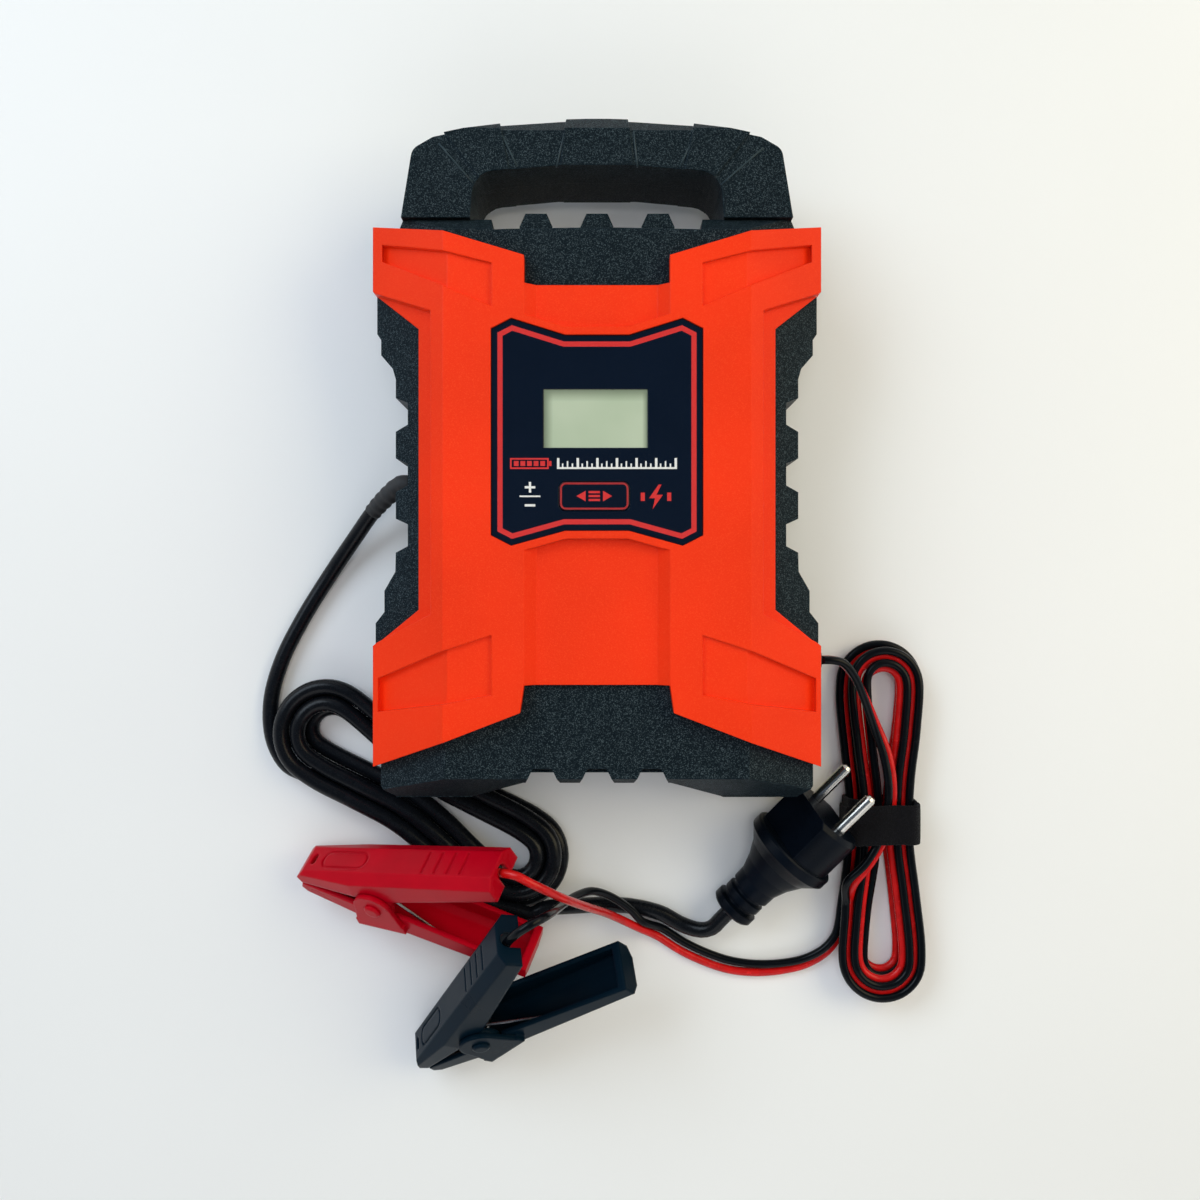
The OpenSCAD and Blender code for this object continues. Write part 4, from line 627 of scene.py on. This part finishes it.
RED = (0.86, 0.034, 0.004)
BLACK = (0.004, 0.009, 0.013)
EVEN = (1, 1, 1)        # scratches that run no way in particular
M = {
    # spark gives the colour of the painted glints on the spark texture.
    "red_cover": moulded("red_cover_plastic", RED, 0.40, grain=0.0010, depth=0.00010, edge=0.0008,
                         light=1.2, glint_share=0.30, strength=0.8, spark=(0.95, 0.090, 0.020),
                         Specular_IOR_Level=0.12),
    "black_housing": moulded("black_spark_plastic", BLACK, 0.44, grain=0.0009, depth=0.00016,
                             edge=0.0006, light=3.0, glint_share=0.75, strength=0.85,
                             spark=(0.075, 0.105, 0.12), Specular_IOR_Level=0.06),
    # A painted highlight: the pale tubes along the handle's facet edges.
    "handle_edge": satin("handle_edge_plastic", (0.035, 0.058, 0.068), level=0.3),
    "gloss_black": polished("gloss_black_plastic", (0.0008, 0.0045, 0.014), 0.09),
    "lcd_frame": moulded("lcd_frame_plastic", (0.20, 0.21, 0.19), 0.4, grain=0.0006, depth=0.00003),
    "circuit_board": board("circuit_board_green"),
    "component_black": moulded("component_epoxy", (0.02, 0.02, 0.022), 0.4, grain=0.0005,
                               depth=0.00003),
    "core_steel": metal("core_laminations", (0.30, 0.31, 0.33), 0.45, along=(0.3, 0.3, 12),
                        scale=1400),
    "winding_tape": moulded("winding_tape_film", (0.62, 0.42, 0.05), 0.3, grain=0.0012,
                            depth=0.00004),
    "choke_copper": wound("choke_copper_wire", (0.72, 0.30, 0.12), pitch=0.0016),
    "capacitor_sleeve": polished("capacitor_sleeve_film", (0.02, 0.03, 0.10), 0.25),
    "sink_aluminium": metal("sink_extrusion", (0.68, 0.69, 0.70), 0.38, along=(0.4, 6, 6)),
    "fuse_glass": polished("fuse_glass_tube", (0.62, 0.64, 0.62), 0.12),
    "zinc_steel": metal("zinc_steel_plate", (0.62, 0.63, 0.62), 0.32, along=EVEN, scale=1200),
    "foot_rubber": rubber("foot_rubber_black", (0.018, 0.018, 0.019), 0.78),
    "gland_rubber": rubber("gland_rubber_black", (0.014, 0.014, 0.015), 0.62),
    "mains_rubber": pvc("mains_sheath", (0.004, 0.005, 0.007), 0.26, Specular_IOR_Level=0.2),
    "plug_rubber": rubber("plug_rubber_black", (0.0015, 0.003, 0.006), 0.30, grain=0.0010,
                          depth=0.00005, edge=0.0006, Specular_IOR_Level=0.08),
    "pin_nickel": metal("pin_nickel_plate", (0.72, 0.69, 0.63), 0.20, along=EVEN, scale=1500,
                        dark=0.9),
    "red_wire": pvc("red_wire_sheath", (0.56, 0.006, 0.006), 0.22, Specular_IOR_Level=0.3),
    "black_wire": pvc("black_wire_sheath", (0.0025, 0.0035, 0.005), 0.20,
                      Specular_IOR_Level=0.15),
    "tie_fabric": fleece("tie_hook_and_loop", (0.003, 0.003, 0.0045)),
    "red_clamp": satin("red_clamp_plastic", (0.46, 0.0005, 0.010), level=0.08),
    "black_clamp": satin("black_clamp_plastic", (0.0015, 0.009, 0.018), level=0.04),
    "spring_steel": metal("spring_steel_wire", (0.50, 0.50, 0.51), 0.3, along=EVEN, scale=1600),
    "contact_copper": metal("contact_copper_sheet", (0.80, 0.40, 0.24), 0.30, along=(6, 1, 1),
                            dark=0.7),
}
window_low, window_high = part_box("lcd_window")
window_mid = (window_low + window_high) / 2
M["lcd_face"] = lcd("lcd_glass", window_mid,
                    (window_high.x - window_low.x, window_high.y - window_low.y))

# Each carried-over solid takes the finish of its slot in the record.
for row in frame["record"]["subparts"]:
    mesh = NODES[row["node"]].data
    mesh.materials.clear()
    mesh.materials.append(M[row["material_slot"]])

for piece, key in ((mains_cord, "mains_rubber"), (red_cord, "red_wire"),
                   (black_cord, "black_wire")):
    piece.data.materials.append(M[key])


# ---- pieces in mesh code ------------------------------------------------------------------------
def add_mesh(name, verts, faces, material, body, slot, smooth=False):
    """A piece from points and faces, riding on its body."""
    mesh = bpy.data.meshes.new(name)
    mesh.from_pydata([Vector(v) * MM for v in verts], [], faces)
    bm = bmesh.new()
    bm.from_mesh(mesh)
    bmesh.ops.recalc_face_normals(bm, faces=bm.faces)
    bm.to_mesh(mesh)
    bm.free()
    for p in mesh.polygons:
        p.use_smooth = smooth
    mesh.materials.append(material)
    obj = bpy.data.objects.new(name, mesh)
    bpy.context.scene.collection.objects.link(obj)
    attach(obj, body)
    return obj


def slab_rows(shapes, z0, z1):
    """Closed prisms over plain outlines, all in one mesh."""
    verts, faces = [], []
    for shape in shapes:
        k, n = len(verts), len(shape)
        verts += [(x, y, z0) for x, y in shape] + [(x, y, z1) for x, y in shape]
        faces += [[k + i for i in range(n)], [k + n + i for i in range(n)]]
        faces += [[k + i, k + (i + 1) % n, k + n + (i + 1) % n, k + n + i] for i in range(n)]
    return verts, faces


def ring_rows(outer, inner, z0, z1):
    """A closed band between two outlines of the same number of corners."""
    n = len(outer)
    verts = [(x, y, z0) for x, y in outer + inner] + [(x, y, z1) for x, y in outer + inner]
    faces = []
    for i in range(n):
        j = (i + 1) % n
        o, p, a, b = i, j, n + i, n + j
        t = 2 * n
        faces += [[o, p, b, a], [o + t, p + t, b + t, a + t],
                  [o, p, p + t, o + t], [a, b, b + t, a + t]]
    return verts, faces


def merged(parts):
    """Several pairs of points and faces as one."""
    verts, faces = [], []
    for v, f in parts:
        faces += [[i + len(verts) for i in face] for face in f]
        verts += v
    return verts, faces


def inset(points, d):
    """A convex or nearly convex outline moved inwards by d, for points in order round it."""
    n = len(points)
    area = sum(points[i][0] * points[(i + 1) % n][1] - points[(i + 1) % n][0] * points[i][1]
               for i in range(n))
    side = 1 if area > 0 else -1
    out = []
    for i in range(n):
        a, b, c = (Vector(points[(i + k) % n]) for k in (-1, 0, 1))
        u, w = (b - a).normalized(), (c - b).normalized()
        n1, n2 = Vector((-u.y, u.x)) * side, Vector((-w.y, w.x)) * side
        m = (n1 + n2).normalized()
        out.append(tuple(b + m * (d / max(0.3, m.dot(n1)))))
    return out


def round_box(cx, cy, w, h, r, steps=6):
    """The outline of a box with round corners."""
    out = []
    for kx, ky, a0 in ((1, 1, 0), (-1, 1, 90), (-1, -1, 180), (1, -1, 270)):
        for i in range(steps + 1):
            a = math.radians(a0 + 90 * i / steps)
            out.append((cx + kx * (w / 2 - r) + r * math.cos(a),
                        cy + ky * (h / 2 - r) + r * math.sin(a)))
    return out


def box_shape(cx, cy, w, h):
    """The outline of a plain box."""
    return [(cx - w / 2, cy - h / 2), (cx + w / 2, cy - h / 2), (cx + w / 2, cy + h / 2),
            (cx - w / 2, cy + h / 2)]


# ---- the panel's printed marks: a border line and plain symbols ---------------------------------
PANEL = [(11.8, -27.45), (31.7, -32.95), (39.1, -29.15), (39.1, 47.15), (31.7, 50.95),
         (11.8, 44.75), (-11.8, 44.75), (-31.7, 50.95), (-39.1, 47.15), (-39.1, -29.15),
         (-31.7, -32.95), (-11.8, -27.45)]
PANEL_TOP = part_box("display_panel")[1].z / MM
BUTTON_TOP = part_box("mode_button")[1].z / MM
PRINT = 0.05            # how far the ink stands up
red_ink = ink("red_ink", (0.62, 0.012, 0.010))
dark_red_ink = ink("dark_red_ink", (0.36, 0.008, 0.008))
white_ink = ink("white_ink", (0.74, 0.74, 0.72))


def print_on(name, rows, material, body="charger"):
    return add_mesh(name, *rows, material, body, "gloss_black")


def at_px(x, y, z):
    """The place on the level z that the camera sees at a pixel of its frame."""
    s = FOCAL_PX / (CAM_Z - z)
    return (x - CENTRE_PX[0]) / s, (CENTRE_PX[1] - y) / s + CAM_Y


z0, z1 = PANEL_TOP, PANEL_TOP + PRINT
print_on("panel_border_line", ring_rows(inset(PANEL, 2.3), inset(PANEL, 4.2), z0, z1), red_ink)

# A battery sign in red, and a level scale in white, where the panel's heading is.
left, low = at_px(510, 469, PANEL_TOP)
right, high = at_px(552, 458, PANEL_TOP)
cx, cy, w, h = (left + right) / 2, (low + high) / 2, right - left, high - low
WALL, CELLS, CELL_STEP, CELL_W = 0.6, 5, 2.45, 1.75
sign = ring_rows(box_shape(cx - WALL, cy, w - 2 * WALL, h),
                 box_shape(cx - WALL, cy, w - 4 * WALL, h - 2 * WALL), z0, z1)
cells = [box_shape(cx - WALL - w / 2 + 2.9 + CELL_STEP * i, cy, CELL_W, h - 2.2)
         for i in range(CELLS)]
pole = box_shape(cx + w / 2 - 0.75, cy, 1.1, h * 0.45)
print_on("heading_battery_sign", merged([sign, slab_rows(cells + [pole], z0, z1)]), red_ink)

left, _ = at_px(557, 469, PANEL_TOP)
right, _ = at_px(677, 458, PANEL_TOP)
RULE, LAST_TICK = 0.7, 24
LONG_W, SHORT_W = 0.9, 0.55
ticks = [box_shape((left + right) / 2, low + RULE / 2, right - left, RULE)]
for i in range(LAST_TICK + 1):
    tall = high - low if i % 4 == 0 else (high - low) * (0.72 if i % 2 == 0 else 0.5)
    wide = LONG_W if i % 4 == 0 else SHORT_W
    x = left + wide / 2 + (right - left - LONG_W) * i / LAST_TICK
    ticks.append(box_shape(x, low + RULE + (tall - RULE) / 2, wide, tall - RULE - 0.02))
print_on("heading_level_scale", slab_rows(ticks, z0, z1), white_ink)

# Plus and minus above and below a rule.
left, low = at_px(519.6, 510.6, PANEL_TOP)
right, high = at_px(540.4, 482, PANEL_TOP)
cx, cy = (left + right) / 2, (low + high) / 2
BAR_W, BAR_H = 3.9, 0.85
PLUS_Y, ARM_H = 1.95, 1.53
print_on("polarity_sign", slab_rows([
    box_shape(cx, cy, right - left, 0.55),
    box_shape(cx, high - PLUS_Y, BAR_W, BAR_H),
    box_shape(cx, high - PLUS_Y + 1.2, BAR_H, ARM_H),
    box_shape(cx, high - PLUS_Y - 1.2, BAR_H, ARM_H),
    box_shape(cx, low + PLUS_Y, BAR_W, BAR_H)], z0, z1), white_ink)

# A plain lightning sign between two short bars, on the right.
left, low = at_px(639, 509, PANEL_TOP)
right, high = at_px(673, 484.5, PANEL_TOP)
BOLT = [(0.62, 1.0), (0.20, 0.44), (0.46, 0.44), (0.36, 0.0), (0.80, 0.58), (0.52, 0.58),
        (0.74, 1.0)]
w, h = right - left, high - low
bolt = [(left + w / 2 + (u - 0.5) * h * 0.95, low + v * h) for u, v in BOLT]
bars = [box_shape(x, low + h / 2, 1.5, h * 0.34) for x in (left + 1.4, right - 1.4)]
print_on("output_sign", slab_rows([bolt] + bars, z0, z1), red_ink)

# The button's outline and its sign: three lines between two arrowheads.
low_corner, high_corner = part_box("mode_button")
cx = (low_corner.x + high_corner.x) / 2 / MM
cy = (low_corner.y + high_corner.y) / 2 / MM
z0, z1 = BUTTON_TOP, BUTTON_TOP + PRINT
BUTTON_W, BUTTON_H = 25.8, 10.5
print_on("button_outline", ring_rows(round_box(cx, cy, BUTTON_W - 0.5, BUTTON_H - 0.5, 2.2),
                                     round_box(cx, cy, BUTTON_W - 1.9, BUTTON_H - 1.9, 1.5),
                                     z0, z1),
         dark_red_ink, "mode_button_body")
TIP, FOOT, HALF_H = 6.6, 3.2, 1.95
LINE_STEP, LINE_W, LINE_H = 1.45, 4.2, 0.8
print_on("button_sign", slab_rows([
    [(cx - TIP, cy), (cx - FOOT, cy - HALF_H), (cx - FOOT, cy + HALF_H)],
    [(cx + TIP, cy), (cx + FOOT, cy + HALF_H), (cx + FOOT, cy - HALF_H)],
    box_shape(cx, cy + LINE_STEP, LINE_W, LINE_H), box_shape(cx, cy, LINE_W, LINE_H),
    box_shape(cx, cy - LINE_STEP, LINE_W, LINE_H)], z0, z1), red_ink, "mode_button_body")


# ---- swept pieces -------------------------------------------------------------------------------
def sweep(path, section, up_hint=V(0, 1, 0)):
    """section(i) gives points across the path in (side, up); returns rows for add_mesh."""
    verts, faces, count = [], [], None
    n = len(path)
    for i, p in enumerate(path):
        a, b = path[max(i - 1, 0)], path[min(i + 1, n - 1)]
        t = (b - a).normalized()
        side = t.cross(up_hint).normalized()
        up = side.cross(t)
        ring = section(i)
        count = len(ring)
        verts += [p + side * u + up * v for u, v in ring]
    for i in range(n - 1):
        for k in range(count):
            a, b = i * count + k, i * count + (k + 1) % count
            j = (i + 1) * count
            faces.append([a, b, j + (k + 1) % count, j + k])
    faces += [list(range(count)), list(range((n - 1) * count, n * count))]
    return verts, faces


TIE_AT = (117.8, -144.0, 11.2)
TIE_W, TIE_H, TIE_R = 28.9, 20.9, 4.6
TIE_TURNS = 1.36
TIE_HALF, TIE_THICK = 8.1, 0.5              # half of its width, and half of its thickness


def tie_rows():
    """The hook-and-loop tie, wound round the bundle with its end lapped over the top."""
    cx, cy, cz = TIE_AT
    loop = [V(x, 0, z) for x, z in round_box(cx, cz, TIE_W, TIE_H, TIE_R, 8)]
    start = max(range(len(loop)), key=lambda i: loop[i].z - 0.6 * abs(loop[i].x - cx + 6))
    loop = loop[start:] + loop[:start]
    lap = loop + loop[:round(len(loop) * (TIE_TURNS - 1))]
    even = smooth_path(lap, 0.9)
    last = len(even) - 1
    mid = V(cx, 0, cz)
    path = []
    for i, p in enumerate(even):
        k = i / last
        # The lapped end lies on the first turn, and the band slants and wavers a little.
        grow = ease((k * TIE_TURNS - 0.93) / 0.1) * 1.05
        p = p + (p - mid).normalized() * grow
        path.append(V(p.x, cy + 1.6 - 3.6 * k + 0.3 * math.sin(k * 19), p.z))

    def section(i):
        """The band's section, its two sides a little frayed and its end rounded."""
        e = 0.35 * noise.noise(V(i * 0.35, 3, 1))
        f = 0.35 * noise.noise(V(i * 0.35, 9, 5))
        half = TIE_HALF * (1 - 0.25 * ease((i / last - 0.965) / 0.035))
        t = TIE_THICK
        return [(-t, -half + 0.3 + e), (-t * 0.5, -half + e), (t * 0.5, -half + e),
                (t, -half + 0.35 + e), (t * 1.15, -TIE_HALF * 0.5), (t, 0),
                (t * 1.15, TIE_HALF * 0.5), (t, half - 0.35 + f), (t * 0.5, half + f),
                (-t * 0.5, half + f), (-t, half - 0.3 + f)]

    return sweep(path, section)


tie = add_mesh("hook_loop_tie", *tie_rows(), M["tie_fabric"], "charger", "tie_fabric", True)
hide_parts("hank_tie")
soft_edges = tie.modifiers.new("round", "SUBSURF")
soft_edges.levels = soft_edges.render_levels = 1


def tube_rows(path, radii, sides=20):
    """A round tube whose radius follows radii."""
    def section(i):
        angles = [2 * math.pi * k / sides for k in range(sides)]
        return [(radii[i] * math.cos(a), radii[i] * math.sin(a)) for a in angles]

    return sweep(path, section, V(0, 0.02, 1))


# A ribbed, tapered sleeve on the mains cord where it leaves the housing.
sleeve_path = smooth_path([Vector(p) for p in MAINS_IN], 0.6)[:38]
SLEEVE_R, SLEEVE_TAPER, RIB = 4.35, 0.75, 0.28
radii = []
for i in range(len(sleeve_path)):
    k = i / (len(sleeve_path) - 1)
    groove = RIB if i % 6 in (2, 3, 4) and 0.12 < k < 0.93 else 0.0
    radii.append(SLEEVE_R - SLEEVE_TAPER * k - groove)
radii[0] -= 0.5
radii[-1] = 3.36
add_mesh("mains_cord_sleeve", *tube_rows(sleeve_path, radii), M["gland_rubber"], "charger",
         "gland_rubber", True)

# Pale tubes on the edges between the handle's facets: painted highlights where those edges
# catch the light.
HANDLE_FACE, EDGE_R = 56.0, 0.3
HANDLE_EDGES = [((-60, 119.9), (-47, 104.9)), ((-36.6, 124.5), (-30.3, 111)),
                ((-12.2, 124.5), (-15.4, 110.8)), ((13.9, 124.5), (15.3, 110.8)),
                ((37.9, 124.5), (31.2, 110.8)), ((63, 118.2), (46.8, 104.1))]
for i, (outer, inner) in enumerate(HANDLE_EDGES):
    a, b = V(*outer, HANDLE_FACE), V(*inner, HANDLE_FACE)
    line = [a.lerp(b, k / 4) for k in range(5)]
    add_mesh("handle_edge_%d" % (i + 1), *tube_rows(line, [EDGE_R] * len(line), 10),
             M["handle_edge"], "charger", "black_housing", True)

# The wires inside the clamp handles, which move with the levers.
for colour, line in (("red", red_wire), ("black", black_wire)):
    slot = colour + "_wire"
    wire = add_mesh(colour + "_wire_in_handle", *tube_rows(line, [LEAD_R] * len(line), 16),
                    M[slot], colour + "_lever_body", slot, True)
    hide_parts(colour + "_wire_end")

# ---- table, lights and world --------------------------------------------------------------------
TABLE_HALF = 3          # metres
corners = [(x * TABLE_HALF, y * TABLE_HALF, 0) for x, y in ((-1, -1), (1, -1), (1, 1), (-1, 1))]
floor_mesh = bpy.data.meshes.new("table_top")
floor_mesh.from_pydata(corners, [], [[0, 1, 2, 3]])
floor = bpy.data.objects.new("table_top", floor_mesh)
bpy.context.scene.collection.objects.link(floor)
n = Nodes("pale_table")
slow = n.noise(3.0, 3.0)
fine = n.noise(900, 3.0)
floor_mesh.materials.append(n.out(
    n.mix(n.spread(slow, 0.3, 0.7), (0.83, 0.835, 0.84), (0.86, 0.865, 0.87)),
    n.spread(fine, 0.3, 0.7, 0.5, 0.6), n.bump(fine, 0.00002, 0.15)))

LIT_POINT = (0, -0.05, 0.03)


def area_light(name, place, size, watts, colour):
    """A soft rectangle of light that faces the object."""
    data = bpy.data.lights.new(name, "AREA")
    data.shape = "RECTANGLE"
    data.size, data.size_y = size
    data.energy = watts
    data.color = colour
    obj = bpy.data.objects.new(name, data)
    obj.location = place
    facing = (Vector(LIT_POINT) - Vector(place)).to_track_quat("-Z", "Y")
    obj.rotation_euler = facing.to_euler()
    obj.visible_camera = False
    bpy.context.scene.collection.objects.link(obj)
    return obj


area_light("key_left", (-0.95, 0.75, 1.15), (1.2, 0.9), 14.0, (0.74, 0.87, 1.0))
area_light("fill_right", (1.05, 0.35, 0.95), (1.1, 1.0), 10.0, (1.0, 0.87, 0.54))
area_light("soft_front", (0.1, -1.35, 1.2), (1.4, 0.8), 3.5, (1.0, 0.99, 0.97))
above = area_light("soft_above", (0.0, 0.05, 1.6), (0.5, 0.5), 4.0, (1.0, 1.0, 1.0))
above.visible_glossy = False

# The room lights the object dimly. Seen directly, in glossy surfaces or through clear ones, it is
# pale all round and darkens overhead.
world = bpy.data.worlds.new("studio")
bpy.context.scene.world = world
world.use_nodes = True
tree = world.node_tree


def world_node(kind, **values):
    node = tree.nodes.new(kind)
    for key, value in values.items():
        setattr(node, key, value)
    return node


back = tree.nodes["Background"]
back.inputs["Color"].default_value = (0.92, 0.96, 1.0, 1)
back.inputs["Strength"].default_value = 0.36
seen = world_node("ShaderNodeBackground")
seen.inputs["Strength"].default_value = 1.0
where = world_node("ShaderNodeTexCoord")
height = world_node("ShaderNodeSeparateXYZ")
tree.links.new(where.outputs["Generated"], height.inputs[0])
fade = world_node("ShaderNodeMapRange", interpolation_type="SMOOTHSTEP")
fade.inputs["From Min"].default_value = 0.10
fade.inputs["From Max"].default_value = 0.80
tree.links.new(height.outputs["Z"], fade.inputs["Value"])
room = world_node("ShaderNodeMix", data_type="RGBA")
room.inputs[6].default_value = (0.90, 0.92, 0.95, 1)
room.inputs[7].default_value = (0.085, 0.11, 0.15, 1)
tree.links.new(fade.outputs["Result"], room.inputs[0])
tree.links.new(room.outputs[2], seen.inputs["Color"])
rays = world_node("ShaderNodeLightPath")
either = world_node("ShaderNodeMath", operation="MAXIMUM")
any_of = world_node("ShaderNodeMath", operation="MAXIMUM")
tree.links.new(rays.outputs["Is Camera Ray"], either.inputs[0])
tree.links.new(rays.outputs["Is Glossy Ray"], either.inputs[1])
tree.links.new(either.outputs[0], any_of.inputs[0])
tree.links.new(rays.outputs["Is Transmission Ray"], any_of.inputs[1])
joined = world_node("ShaderNodeMixShader")
tree.links.new(any_of.outputs[0], joined.inputs[0])
tree.links.new(back.outputs[0], joined.inputs[1])
tree.links.new(seen.outputs[0], joined.inputs[2])
tree.links.new(joined.outputs[0], tree.nodes["World Output"].inputs["Surface"])
